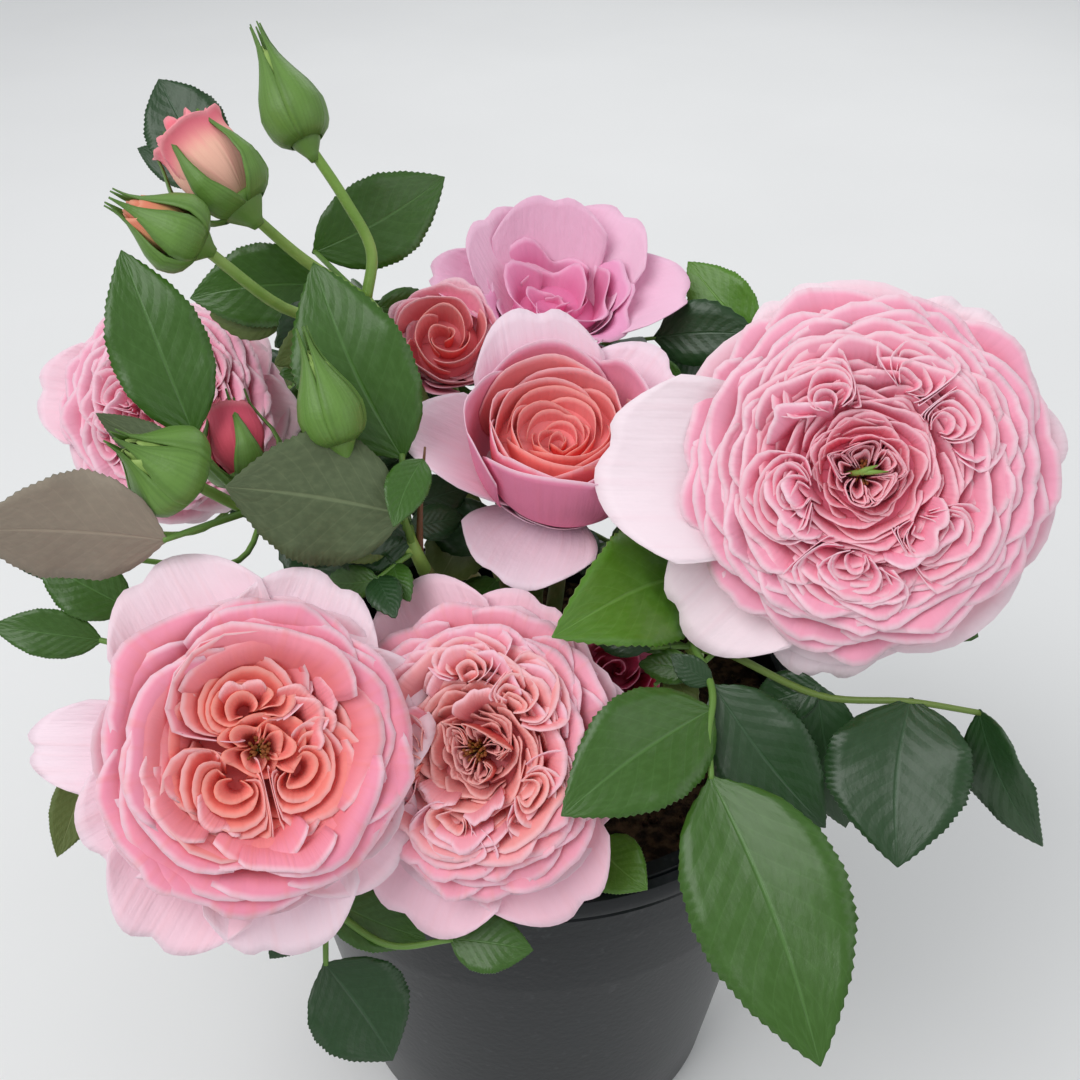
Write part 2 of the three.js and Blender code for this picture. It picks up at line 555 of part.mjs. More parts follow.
function add(name, solid, color, isBloom = false) {
  const mesh = solid.getMesh();
  const geometry = new THREE.BufferGeometry();
  const stride = mesh.numProp;
  const spots = new Float32Array(mesh.numVert * 3);
  for (let i = 0; i < mesh.numVert; i++) {
    spots.set(mesh.vertProperties.subarray(i * stride, i * stride + 3), i * 3);
  }
  geometry.setAttribute("position", new THREE.BufferAttribute(spots, 3));
  geometry.setIndex(new THREE.BufferAttribute(mesh.triVerts, 1));
  const finish = { color, roughness: 0.6, metalness: 0, flatShading: true };
  const material = new THREE.MeshStandardMaterial(finish);
  const item = new THREE.Mesh(geometry, material);
  item.name = name;
  group.add(item);
  made.push({ name, solid, box: solid.boundingBox(), isBloom });
}

function isNear(solid, other) {
  const box = solid.boundingBox();
  const apart = [0, 1, 2].some((i) => box.min[i] - GAP > other.box.max[i]
    || other.box.min[i] - GAP > box.max[i]);
  return !apart && solid.minGap(other.solid, 2 * GAP) <= 1.1 * GAP;
}

// Whether a solid keeps at least the gap to all that stands already, apart from the named piece
function isClear(solid, except) {
  return made.every((other) => other.name === except || !isNear(solid, other));
}

// A solid grown by a little more than the gap
function grown(solid) {
  const reach = 2 * GAP;
  const moves = [
    [0, 0, 0], [reach, 0, 0], [-reach, 0, 0], [0, reach, 0], [0, -reach, 0], [0, 0, reach], [0, 0, -reach],
  ];
  return wasm.Manifold.union(moves.map((move) => solid.translate(move)));
}

// What is left of a solid clear of all that stands already, and of the whole round space of the
// blooms among it
function fitted(solid) {
  let rest = joined([solid]);
  made.forEach((other) => {
    const space = other.isBloom ? other.solid.hull() : other.solid;
    const box = space.boundingBox();
    if (isNear(rest, { solid: space, box })) rest = joined([rest.subtract(grown(space))]);
  });
  return rest;
}

function buildPot() {
  const side = (z) => mix(FOOT_RADIUS, STEP_RADIUS - 2.2, z / STEP_HEIGHT);
  const outline = [
    [8, 0], [FOOT_RADIUS - 1.5, 0], [FOOT_RADIUS, 1.5], [side(STEP_HEIGHT - 2), STEP_HEIGHT - 2],
    [STEP_RADIUS - 0.3, STEP_HEIGHT - 0.6], [STEP_RADIUS, STEP_HEIGHT + 1.4],
    [STEP_RADIUS + 2, BAND_HEIGHT - 2.5], [RIM_RADIUS - 1.7, BAND_HEIGHT], [RIM_RADIUS - 1.1, 161.4],
    [RIM_RADIUS - 2.2, 162.6], [RIM_RADIUS - 0.3, 163.8], [RIM_RADIUS, 166.5], [RIM_RADIUS - 1, 169.6],
    [RIM_RADIUS - 3.4, RIM_HEIGHT], [RIM_RADIUS - 4.2, RIM_HEIGHT - 1.2], [RIM_RADIUS - 5, RIM_HEIGHT],
    [LIP_RADIUS + 0.8, RIM_HEIGHT + 0.4], [LIP_RADIUS, RIM_HEIGHT - 1], [LIP_RADIUS + 2.9, BAND_HEIGHT + 4],
    [LIP_RADIUS + 2.7, BAND_HEIGHT - 2], [STEP_RADIUS - WALL, STEP_HEIGHT + 1.4],
    [side(STEP_HEIGHT - 2) - WALL, STEP_HEIGHT - 3], [FOOT_RADIUS - WALL, FLOOR], [8, FLOOR],
  ];
  const plug = drum([[8.6, 0], [8.6, FLOOR]], POT_SIDES);
  let pot = turned(outline, POT_SIDES).add(plug);
  for (let k = 0; k < SLOTS; k++) {
    const turn = rad(SLOT_TURN + (360 / SLOTS) * k);
    const out = new THREE.Vector3(Math.cos(turn), Math.sin(turn), 0);
    const across = new THREE.Vector3(-out.y, out.x, 0).multiplyScalar(SLOT_WIDTH / 2);
    const corners = [];
    [[FOOT_RADIUS - 9, -4], [FOOT_RADIUS + 12, -4], [FOOT_RADIUS + 16, SLOT_HEIGHT],
      [FOOT_RADIUS - 1, SLOT_HEIGHT]].forEach(([r, z]) => {
      const spot = out.clone().multiplyScalar(r).setZ(z);
      corners.push(spot.clone().sub(across), spot.clone().add(across));
    });
    const faces = [[0, 2, 1], [1, 2, 3], [2, 4, 3], [3, 4, 5], [4, 6, 5], [5, 6, 7], [6, 0, 7], [7, 0, 1],
      [0, 4, 2], [0, 6, 4], [1, 3, 5], [1, 5, 7]];
    pot = pot.subtract(closed(corners, faces));
  }
  add("pot", pot, 0x16191b);
}

function buildSoil() {
  const random = numbers(5);
  const low = FLOOR + GAP;
  const wall = (z) => mix(FOOT_RADIUS, STEP_RADIUS - 2.2, z / STEP_HEIGHT) - WALL - GAP - 0.2;
  const levels = [[wall(0), low], [wall(STEP_HEIGHT - 2), STEP_HEIGHT - 3],
    [STEP_RADIUS - WALL - GAP - 0.2, STEP_HEIGHT + 1.4], [LIP_RADIUS + 2.2, BAND_HEIGHT - 2],
    [SOIL_RADIUS - 0.2, SOIL_TOP]];
  const spots = [];
  const rings = [...levels, [78, SOIL_TOP], [60, SOIL_TOP], [40, SOIL_TOP], [22, SOIL_TOP]];
  rings.forEach(([r, z], j) => {
    for (let k = 0; k < POT_SIDES; k++) {
      const turn = (2 * Math.PI * k) / POT_SIDES;
      const bump = j > 4 && j < 8 ? 2.4 * (random() - 0.6) : 0;
      spots.push(new THREE.Vector3(r * Math.cos(turn), r * Math.sin(turn), z + bump));
    }
  });
  const faces = quads(POT_SIDES, rings.length - 1, (i, j) => j * POT_SIDES + (i % POT_SIDES));
  const end = (rings.length - 1) * POT_SIDES;
  for (let k = 1; k < POT_SIDES - 1; k++) {
    faces.push([0, k + 1, k], [end, end + k, end + k + 1]);
  }
  add("soil", closed(spots, faces), 0x3a2c20);
}

const caneTips = new Map();

function buildCanes() {
  add("trunk", limb(TRUNK_PATH, TRUNK_RADII, TRUNK_SIDES), 0x6b5a3c);
  CANES.forEach(([name, turn, root, thick, thin, bend, tip]) => {
    const out = [Math.cos(rad(turn)), Math.sin(rad(turn))];
    const middle = [out[0] * bend + out[0] * 6, out[1] * bend + 2 + out[1] * 6, mix(root, tip[2], 0.42)];
    const path = curve([[out[0] * 3, 2 + out[1] * 3, root], middle, tip], CANE_RINGS);
    caneTips.set(name, path[CANE_RINGS - 1]);
    add(name, fitted(limb(path, taper(thick, thin, CANE_RINGS), CANE_SIDES)), 0x6f7d3f);
  });
}

function shootStem(shoot) {
  const spots = [caneTips.get(shoot.cane).toArray(), ...shoot.stem];
  const bloom = BLOOMS.find((b) => b.name === shoot.bloom);
  if (bloom) {
    const { up, seat } = facing(bloom);
    spots.push(seat.clone().addScaledVector(up, -bloom.hip * 1.5 - 6).toArray());
    spots.push(seat.clone().addScaledVector(up, -bloom.hip * 1.5 - 1.8 * GAP).toArray());
  }
  return curve(spots, 7);
}

function buildShoots() {
  SHOOTS.forEach((shoot) => {
    const stem = shootStem(shoot);
    const radii = taper(shoot.radii[0], shoot.radii[1], 7);
    const solids = [limb(stem, radii, 5)];
    const first = stem[0].clone().lerp(stem[1], 0.3);
    shoot.stalks.forEach((stalk) => {
      solids.push(limb(stalk, taper(STALK_RADIUS * 1.4, STALK_RADIUS, stalk.length), 3));
    });
    shoot.blades.forEach(([foot, tip, width, roll]) => solids.push(blade(foot, tip, width, roll, true)));
    shoot.buds.forEach((bud) => solids.push(...budSolids(bud)));
    wildLeaves([first, ...stem.slice(1)], shoot.wild).forEach(({ stalk, blades }) => {
      const rib = limb(stalk, [1, 0.8, 0.7], 3);
      if (!isClear(rib, shoot.cane)) return;
      const own = blades
        .map(([foot, tip, width]) => blade(foot.toArray(), tip.toArray(), width, 0, false))
        .filter((solid) => isClear(solid) && solids.every((s) => s.intersect(solid).isEmpty()));
      if (own.length) solids.push(rib, ...own);
    });
    add(shoot.name, fitted(wasm.Manifold.union(solids)), 0x3f6b2c);
  });
}

buildPot();
buildSoil();
buildCanes();
BLOOMS.forEach((bloom) => add(bloom.name, fitted(bloomSolid(bloom)), 0xf0a4bd, true));
buildShoots();

export default group;
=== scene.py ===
"""The looks of a potted rose bush: blooms, buds, leaves, canes, soil and pot, in the frame of its solids.

Geometry is worked out in millimetres and stored in metres. Every surface is a plain mesh.
"""
from collections import namedtuple
from math import acos, ceil, cos, dist, hypot, pi, radians, sin, sqrt, tanh

import bpy
import numpy as np
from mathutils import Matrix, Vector
from mathutils.bvhtree import BVHTree


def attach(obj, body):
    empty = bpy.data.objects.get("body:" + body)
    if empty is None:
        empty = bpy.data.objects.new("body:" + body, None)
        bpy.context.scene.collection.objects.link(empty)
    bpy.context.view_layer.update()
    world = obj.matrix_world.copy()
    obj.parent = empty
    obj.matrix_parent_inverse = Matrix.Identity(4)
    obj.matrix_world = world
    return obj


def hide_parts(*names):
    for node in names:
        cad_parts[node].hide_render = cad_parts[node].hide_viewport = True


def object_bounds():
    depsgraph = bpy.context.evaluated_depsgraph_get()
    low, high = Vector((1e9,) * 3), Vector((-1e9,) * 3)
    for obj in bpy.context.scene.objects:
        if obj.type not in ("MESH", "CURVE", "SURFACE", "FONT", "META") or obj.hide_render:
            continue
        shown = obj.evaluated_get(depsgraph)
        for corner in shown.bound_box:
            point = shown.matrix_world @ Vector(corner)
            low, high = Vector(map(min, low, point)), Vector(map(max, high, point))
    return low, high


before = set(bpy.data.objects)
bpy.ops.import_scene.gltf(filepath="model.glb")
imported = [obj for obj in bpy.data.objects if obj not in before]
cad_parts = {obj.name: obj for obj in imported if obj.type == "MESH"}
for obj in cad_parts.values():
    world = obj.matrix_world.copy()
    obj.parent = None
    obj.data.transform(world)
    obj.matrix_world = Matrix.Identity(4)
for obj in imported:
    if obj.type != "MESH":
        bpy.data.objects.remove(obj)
cad_box = [list(corner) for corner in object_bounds()]

MM = 0.001
TAU = 2 * pi
QUARTER = pi / 2
# The photo's camera: its place, how far down it looks, its lens in pixels, and the frame's size
SHOW_POINT = np.array([2.0, -379.0, 506.0])
CAMERA_PITCH = 35.5
LENS_PIXELS = 1400
PHOTO_PIXELS = 1080
SENSOR = 36
# Floor, sky and lights: half the floor's width, the sky's colour and power, where the lights aim,
# and the name, place, size and power of each, all in metres
FLOOR_REACH = 12
SKY = (0.93, 0.96, 1.0, 1), 0.5
LIGHT_AIM = Vector((0, 0, 0.25))
LIGHTS = [("key", (-0.9, -0.7, 1.7), 1.4, 20), ("fill", (1.3, -0.6, 1.0), 1.2, 4),
          ("back", (0.3, 1.4, 1.2), 1.2, 6)]

# Sizes of the solids, repeated from the part's source; turns in degrees
GAP = 0.3
FOOT_RADIUS = 72
STEP_HEIGHT = 120
STEP_RADIUS = 92.5
BAND_HEIGHT = 151
RIM_RADIUS = 99.5
RIM_HEIGHT = 171
LIP_RADIUS = 89
WALL = 2.4
FLOOR = 3
SLOTS = 4
SLOT_WIDTH = 6
SLOT_HEIGHT = 46
SLOT_TURN = -48
SOIL_TOP = 150
SOIL_RADIUS = 91.4
TRUNK_PATH = [[4, 6, SOIL_TOP + GAP], [4, 6, 153.5], [3, 5, 163], [1, 3, 173], [0, 2, 184], [0, 2, 189]]
TRUNK_RADII = [12.5, 11, 9.4, 9, 8.6, 5]
CANE_RINGS = 7
STEM_RINGS = 7
# How many of each the visual model has
POT_SIDES = 168
SOIL_SIDES = 160
SOIL_ROWS = 44
TRUNK_STEPS = 46
CANE_STEPS = 30
STEM_STEPS = 24
THORNS = 7
CRUMBS = 420
STAMENS = 26
UNDER_PETALS = 7
BUD_PETALS = 7
SEPALS = 5
# Each cane: its name, heading, height on the trunk, radius at its foot and at its tip, how far it
# bows out, and its tip
CANES = [
    ("right", -4, 176, 3.6, 2.6, 32, (74, -22, 250)),
    ("low_right", -34, 166, 3.2, 2.3, 30, (52, -38, 218)),
    ("crimson", -66, 178, 2.6, 1.9, 9, (19, -17, 191)),
    ("front_middle", -98, 166, 3.4, 2.5, 20, (-15, -44, 192)),
    ("front_left", -134, 176, 3.5, 2.6, 28, (-58, -56, 205)),
    ("middle_left", -168, 165, 3.2, 2.4, 18, (-34, -30, 246)),
    ("left", 158, 178, 3.3, 2.4, 34, (-98, 58, 222)),
    ("buds", 128, 167, 3.4, 2.5, 16, (-44, 40, 280)),
    ("small", 98, 178, 2.7, 1.9, 16, (-26, 60, 246)),
    ("back", 72, 167, 3.4, 2.4, 22, (8, 66, 246)),
    ("centre", 90, 187, 3.4, 2.6, 2, (1, 6, 224)),
    ("back_right", 34, 178, 3.3, 2.3, 28, (66, 58, 206)),
    ("back_left", 128, 186, 3, 2.2, 30, (-62, 84, 212)),
    ("far_right", 14, 165, 3, 2.1, 30, (92, 22, 206)),
]
# rings: number of petals, radius and height of each ring of the solid, from the heart outwards
# scallop: how far the brim swings out; wall: radius and height of a cup's belly
# guards: turn, length, width, lean at foot and tip, and curl of each guard petal
# flutter: how wavy these are; folds: number of swirls or wraps in the heart and how far they reach
# edges: outward roll of the inner petals and how wavy they are; lush: petals for each of the
# solid's, and their half width as a share of an even one; hubs: number, distance and reach of the
# round groups of folds; colors: heart, inner, middle, petal edges, painted shade of the gaps
# between petals, edges in the heart (pale rims, partly painted light)
Bloom = namedtuple("Bloom", "name kind face axis depth seed hip folds edges colors rings guards lush hubs "
                   "wall scallop flutter", defaults=(None, None, None, 0.06, 1.0))
BLOOMS = [
    Bloom("right", "rosette", (94, -48, 293), (-0.14, -0.83, 0.54), 30, 11, 5.5, (5, 21), (1.2, 1.25),
        "ef7486 f4819f f894b5 fdeaf1 f04c7c fcd3db", [(5, 8, 26), (5, 17, 29.5), (7, 27, 30), (8, 37, 28),
        (9, 46, 24), (10, 54, 17)], [(184, 79, 58, 70, 78, 4), (228, 70, 50, 78, 88, 8),
        (263, 62, 44, 80, 94, 10), (12, 58, 42, 74, 84, 10), (60, 58, 42, 74, 84, 10),
        (118, 58, 42, 74, 84, 10)], lush=(1.2, 1.7), hubs=(6, 21, 21), scallop=0.05),
    Bloom("front_left", "rosette", (-74, -102, 238), (0.24, -0.7, 0.67), 29, 23, 5.5, (3, 10), (2.2, 0.9),
        "f04e26 f4603e f47c9e fae2ec e4342a fb987c", [(4, 9, 20), (4, 18, 22), (5, 26, 22), (7, 33, 29),
        (8, 42, 24)], [(107, 60, 50, 70, 92, 10), (57, 54, 46, 68, 84, 10), (166, 64, 28, 72, 110, 20),
        (196, 52, 40, 72, 92, 10), (229, 60, 46, 70, 96, 14), (268, 58, 46, 70, 94, 12),
        (308, 52, 46, 68, 88, 10), (4, 52, 44, 66, 80, 10)], lush=(0.7, 1.35), hubs=(3, 9.5, 21)),
    Bloom("front_middle", "rosette", (-18, -90, 225.5), (-0.2, -0.75, 0.63), 26, 37, 5.5, (5, 18), (1.4, 1.1),
        "b8463f f48a7c f693ac f9d9e6 e04c54 fbc0b6", [(5, 8, 22), (5, 16, 25.5), (7, 25, 26), (8, 33, 24),
        (9, 41, 18)], [(126, 54, 44, 78, 88, 10), (258, 57, 46, 78, 90, 12), (308, 54, 46, 78, 90, 10),
        (216, 50, 40, 80, 90, 10), (84, 47, 42, 78, 86, 4), (20, 44, 40, 80, 88, 10)], lush=(1.1, 1.5),
        hubs=(5, 15, 17)),
    Bloom("centre", "cup", (9, -9, 294), (0.03, -0.3, 0.95), 48, 41, 5, (21, 25), (1.8, 0.5),
        "e8443c f57a74 f08cb0 f8e0ec ea5a54 fba596", [(3, 7, 37), (4, 14, 42), (5, 20, 45), (5, 26, 48)],
        [(174, 57, 42, 52, 56, 10), (100, 62, 46, 46, 32, 10), (34, 58, 44, 50, 38, 10),
        (246, 46, 46, 76, 66, 30)], wall=(30, 20)),
    Bloom("small", "cup", (-30, 46, 290), (0.05, -0.66, 0.75), 24, 71, 4, (8, 16), (1.6, 0.5),
        "ec6a5c f5807c f498b0 f9d0dc e0505a fab0a6", [(4, 6, 21), (5, 11, 24), (6, 16, 20)],
        [(160, 26, 24, 60, 40, 10), (70, 26, 24, 60, 40, 10), (340, 26, 24, 60, 40, 10)], flutter=0.5),
    Bloom("back", "loose", (8, 73, 300), (0.06, -0.3, 0.95), 32, 53, 4.5, (7, 21), (4.5, 2.6),
        "e878aa f08cba f09ac6 f6c6de e05c9a f6bcd8", [(3, 7, 22), (4, 14, 26), (5, 20, 28)],
        [(168, 50, 36, 58, 58, 10), (130, 48, 42, 54, 30, 10), (86, 48, 44, 50, 24, 10),
        (40, 50, 42, 56, 44, 10), (352, 52, 40, 60, 64, 10), (262, 50, 44, 66, 76, 14)]),
    Bloom("left", "rosette", (-133, 56, 256), (-0.02, -0.78, 0.62), 26, 67, 5, (5, 15), (1.4, 1.2),
        "ee6a8a f583a4 f99fbe fde4ee ec4f80 fbccd9", [(5, 8, 22), (5, 16, 25), (7, 25, 25), (8, 34, 22),
        (9, 39, 16)], [(172, 52, 40, 78, 90, 10), (225, 42, 38, 78, 92, 10), (112, 44, 40, 78, 88, 10),
        (50, 42, 40, 78, 88, 10), (350, 46, 40, 78, 88, 10), (288, 41, 40, 78, 92, 10)], lush=(1.1, 1.6),
        hubs=(5, 14, 15)),
    Bloom("crimson", "cup", (27, -44, 217), (0.12, -0.7, 0.7), 22, 83, 3.6, (7, 12), (1.2, 0.6),
        "b01040 cc2054 dc4070 e684a6 a01236 eea0ba", [(3, 4, 21), (4, 8, 22), (5, 12, 17)],
        [(150, 24, 18, 44, 10, 8), (40, 24, 18, 44, 14, 8), (280, 24, 18, 44, 10, 8)], scallop=0.08,
        flutter=0.5),
]
# stem: its places after the cane's tip; radii: of the stem at its foot and tip; wild: number, seed
# and size of its wild leaves; stalks: their paths; blades: foot, tip, width, roll and tone of each
# leaflet that the photo shows; buds: foot, tip, radius, colours of petal, edge and base, openness
Shoot = namedtuple("Shoot", "name stem radii wild stalks blades buds", defaults=((), (), ()))
SHOOTS = [
    Shoot("right", [(88, -15, 258)], (2.6, 2.3), (4, 101, 40)),
    Shoot("low_right", [(49, -46, 228), (60, -52, 230)], (2.2, 1.3), (3, 103, 34), stalks=[[(49, -47, 230),
        (53, -68, 229), (51, -81, 224), (51, -93, 218)], [(60, -52, 230), (87, -62, 222), (112, -69, 226),
        (131, -75, 227)], [(49, -46, 229), (54, -30, 226), (58, -11, 230)]],
        blades=[(58, -11, 230, 6, -75, 256, 38, 0, "b"), (52.3, -64, 229.4, 41, -58, 235, 9, 0, "d"),
        (52, -74, 227, 8, -107, 218, 34, 0, "m"), (51, -93, 218, 77, -156, 174, 45, 0, "m"),
        (54, -66, 229, 86, -93, 198, 30, 0, "d"), (112, -69, 226, 104, -108, 198, 42, 0, "d"),
        (131, -75, 227, 146, -103, 201, 26, 50, "d"), (86, -60, 224, 96, -80, 184, 23, 0, "d"),
        (86, -60, 224, 67, -57, 213, 16, 0, "d")]),
    Shoot("front_left", [(-72, -68, 211)], (2.6, 2.3), (3, 107, 36), stalks=[[(-66, -63, 208),
        (-68, -78, 190), (-64, -93, 170), (-63, -108, 154)], [(-72, -68, 211), (-104, -66, 208),
        (-134, -76, 207)], [(-66, -62, 208), (-95, -50, 222), (-124, -42, 240)], [(-95, -50, 222),
        (-132, -50, 234)], [(-64, -95, 167), (-44, -105, 160), (-24, -107, 165)]],
        blades=[(-63, -108, 154, -43, -123, 128, 32, 0, "d"), (-65, -94, 169, -80, -107, 156, 16, 0, "d"),
        (-64, -93, 168, -33, -99, 155, 19, 0, "m"), (-134, -76, 207, -140, -98, 191, 14, 0, "o"),
        (-124, -42, 240, -151, -36, 255, 20, 0, "m"), (-132, -50, 234, -163, -52, 241, 15, 0, "m"),
        (-24, -107, 165, 0, -111, 165, 18, 0, "m")]),
    Shoot("front_middle", [(-19, -53, 199)], (2.5, 2.3), (3, 109, 34), stalks=[[(-17, -48, 195),
        (6, -66, 188), (20, -82, 179)]], blades=[(20, -82, 179, 34, -99, 178, 19, 0, "b")]),
    Shoot("middle_left", [(-36, -34, 256), (-42, -26, 266)], (2.3, 1.8), (1, 113, 30),
        stalks=[[(-42, -26, 265), (-47, -28, 280), (-56, -30, 292)], [(-36, -34, 256), (-62, -34, 262),
        (-84, -36, 272), (-98, -41, 285)], [(-40, -28, 262), (-64, -24, 262), (-86, -22, 272)],
        [(-37, -33, 258), (-38, -41, 274)], [(-35, -32, 252), (-34, -30, 270), (-32, -26, 288)],
        [(-80, -35, 269), (-100, -26, 288), (-100, -25, 293)], [(-84, -36, 272), (-104, -58, 277)],
        [(-40, -27, 262), (-40, -17, 280)]], blades=[(-100, -25, 292, -120, 2, 338, 29, 0, "m"),
        (-40, -17, 279, -66, 11, 330, 36, 0, "m"), (-38, -41, 274, -86, -52, 291, 40, 180, "u"),
        (-104, -58, 277, -150, -76, 293, 35, 150, "p"), (-98, -41, 285, -125, -32, 303, 13, 180, "u"),
        (-33, -28, 284, -40, -50, 276, 13, 0, "m"), (-38, -34, 259, -67, -36, 260, 18, 0, "d"),
        (-39.5, -31.5, 262, -63, -46, 262, 13, 0, "d")], buds=[(-56, -30, 292, -65, -18, 317, 8.2,
        "86a653 9dbb66 86a653", 0.0), (-99, -41.5, 286, -113, -49, 303, 11.5, "8aa857 a4bd6c 8aa857", 0.0),
        (-87, -22, 273, -95, -4, 293, 10.5, "f0607a f5919c ea5c70", 0.28)]),
    Shoot("left", [(-118, 82, 223)], (2.4, 2.1), (3, 127, 34), stalks=[[(-102, 61, 224), (-124, 50, 205),
        (-150, 38, 212)], [(-99, 59, 222), (-104, 18, 214), (-140, -5, 232)]],
        blades=[(-150, 38, 212, -184, 33, 220, 20, 0, "d"), (-140, -5, 232, -171, -18, 243, 14, 0, "d")]),
    Shoot("buds", [(-50, 45, 292), (-56, 48, 300)], (2.4, 2), (1, 131, 30), stalks=[[(-56, 48, 300),
        (-54, 55, 314), (-62, 60, 330), (-74, 67, 347)], [(-56, 48, 300), (-74, 40, 318), (-89, 31, 339)],
        [(-56, 48, 299), (-75, 22, 308), (-99, 10, 336)], [(-56, 48, 299), (-77, 80, 303)], [(-52, 46, 295),
        (-71, 55, 302)], [(-74, 40, 317.5), (-92, 62, 322), (-108, 77, 333)]],
        blades=[(-77, 80, 303, -32, 104, 321, 31, 0, "m"), (-108, 77, 333, -127, 97, 358, 28, 0, "d"),
        (-106, 74, 331, -135, 86, 338, 14, 0, "d"), (-71, 55, 302, -115, 49, 300, 28, 0, "m")],
        buds=[(-74, 67, 347, -88, 85, 373, 9, "8fae5a a9c271 8fae5a", 0.0),
        (-89, 31, 339, -111, 42, 364, 12.5, "f57e8e f9a8ae f9c9ae", 0.5), (-99, 10, 336, -119, 7, 350, 10,
        "e08468 eba98c c9b070", 0.06)]),
    Shoot("small", [(-29, 66, 254)], (1.9, 1.7), (2, 137, 30), stalks=[[(-27, 62, 249), (-38, 76, 266)]],
        blades=[(-38, 76, 266, -56, 70, 289, 18, 0, "m")]),
    Shoot("back", [(7, 74, 256)], (2.4, 2.1), (2, 139, 34), stalks=[[(8, 68, 249), (44, 80, 258),
        (79, 74, 272)], [(8, 67, 247), (30, 56, 258), (50, 46, 272)]],
        blades=[(79, 74, 272, 56, 96, 292, 23, 0, "b"), (63, 77, 265, 42, 68, 264, 20, 0, "d"),
        (50, 46, 272, 32, 44, 278, 11, 0, "m")]),
    Shoot("centre", (), (2.6, 2.4), (3, 149, 36)),
    Shoot("crimson", (), (1.9, 1.7), (2, 151, 32)),
    Shoot("back_right", [(88, 76, 218), (106, 92, 226)], (2.3, 1.2), (8, 157, 42)),
    Shoot("back_left", [(-84, 104, 220), (-100, 120, 226)], (2.2, 1.2), (8, 163, 42)),
    Shoot("far_right", [(112, 28, 216), (128, 32, 226)], (2.1, 1.2), (8, 167, 42)),
]
# Middle of the crown and how far it reaches from there along each axis
CROWN = (0, 10, 225), (172, 165, 92)
# Places where wild leaves may grow in front of blooms, and others that they stay behind
HOLLOWS = [((44, -24, 222), 36), ((-42, -26, 244), 34), ((-100, 40, 300), 30), ((40, 60, 262), 30)]
SCREENS = [((-52, -3, 305), 30), ((-62, -46, 282), 28), ((-45, 55, 290), 34), ((-100, 40, 300), 30)]
LOWEST_LEAF = 158
GOLDEN_TURN = 137.5
# Leaves that pass the box of the solids by more than this are left out
CROWN_MARGIN = 6
# Tips of the one dry twig and of the reddish stalk
DRY_TWIG = (-32, -26, 288)
RED_STALK = (131, -75, 227)
# The sprays of each shoot: what is added to the seed, their size and where they show
SPRAYS = [(0, 1.0, HOLLOWS), (500, 0.85, HOLLOWS), (900, 0.7, HOLLOWS), (1700, 0.8, [])]
# Leaflets of a compound leaf: how far along the rib, to which side and how large
LEAFLETS = ((1, 0, 1), (0.66, 1, 0.86), (0.66, -1, 0.86), (0.36, 1, 0.7), (0.36, -1, 0.7))
# Steps of a cane that carry thorns: the first and how many
THORN_ZONE = 5, 22
# Radii of a stalk at its foot and tip: an even one, one under a bud and the dry twig
STALK_RADII, BUD_STALK_RADII, TWIG_RADII = (1.26, 0.9), (2.0, 1.7), (1.26, 0.35)
# A stalk whose tip is this near to a bud's foot carries the bud
BUD_NEAR = 2.5
# Share of its rib at which a compound leaf's last leaflet stands
RIB_SHARE = 0.55
# Rows and columns of the leaflets that the photo shows, of wild ones and of guard petals
SHOWN_GRID, WILD_GRID, GUARD_GRID = (58, 8), (18, 4), (14, 18)
# Petals nearer to the heart than this are left out where a shown leaflet cuts them
INNER = 0.7
# Hubs nearer to the heart than this make a few big lobes that meet in the eye
LOBED = 12
# Rows and columns of the floor under a heart, and how much deeper than a petal it counts, so
# that it takes mostly the painted shade of the gaps
HEART_FLOOR = (9, 33)
FLOOR_SHADE_DEPTH = 12
# How thick a petal is and how much thinner at its edge; a sepal, a leaflet and a petal of a bud
PETAL_SHEET, PETAL_THINNER = 0.55, 0.3
SEPAL_SHEET = 0.5
LEAF_SHEET = 0.45
BUD_SHEET = 0.4
# Marks that tell the kinds of green parts, and those of stamens, apart
FILAMENT, ANTHER = 0.2, 0.9
STEM, HIP, STALK, SEPAL, RED, DRY = 0.0, 0.3, 0.45, 0.5, 0.78, 1.0
# Top side, underside and vein colours of the leaf tones
LEAF_COLORS = {
    "d": ("dark", "20401c 486645 345434"),
    "m": ("middle", "355c14 64824c 527c3a"),
    "b": ("bright", "4e7e16 7e9a52 72a046"),
    "o": ("olive", "55662a 858c54 727e46"),
    "u": ("grey_under", "344f22 4d5b3a 78855f"),
    "p": ("brown_under", "46582f 8e8272 a89a86"),
}
# Tones of wild leaves, each drawn as often as it stands here
WILD_TONES = "dddmmo"


def srgb(code):
    """Linear colour of a six-figure code."""
    parts = [int(code[i:i + 2], 16) / 255 for i in (0, 2, 4)]
    return (*[c / 12.92 if c <= 0.04045 else ((c + 0.055) / 1.055) ** 2.4 for c in parts], 1.0)


def numbers(seed):
    """A source of repeatable numbers between two limits."""
    state = seed

    def draw(low=0.0, high=1.0):
        nonlocal state
        state = (state * 1664525 + 1013904223) & 0xFFFFFFFF
        return mix(low, high, state / 4294967296)
    return draw


def hash_of(text):
    """The seed that the source makes of a name."""
    total = 7
    for letter in text:
        total = (total * 31 + ord(letter)) & 0xFFFFFFF
    return total


def mix(a, b, t):
    return a + (b - a) * t


def smooth(low, high, x):
    t = np.clip((x - low) / (high - low), 0, 1)
    return t * t * (3 - 2 * t)


def unit(v):
    v = np.asarray(v, float)
    return v / np.linalg.norm(v)


def heading(turn):
    return np.array([cos(turn), sin(turn), 0.0])


def polar(r, angle, z):
    """Places of a sheet from their distance, angle and height in a bloom's own frame."""
    return np.stack([r * np.cos(angle), r * np.sin(angle), z], 2)


def sheet(columns, rows, start=0.0):
    """Shares across and along a sheet, from -1 to 1 and from start to 1."""
    return np.meshgrid(np.linspace(-1, 1, columns + 1), np.linspace(start, 1, rows + 1))


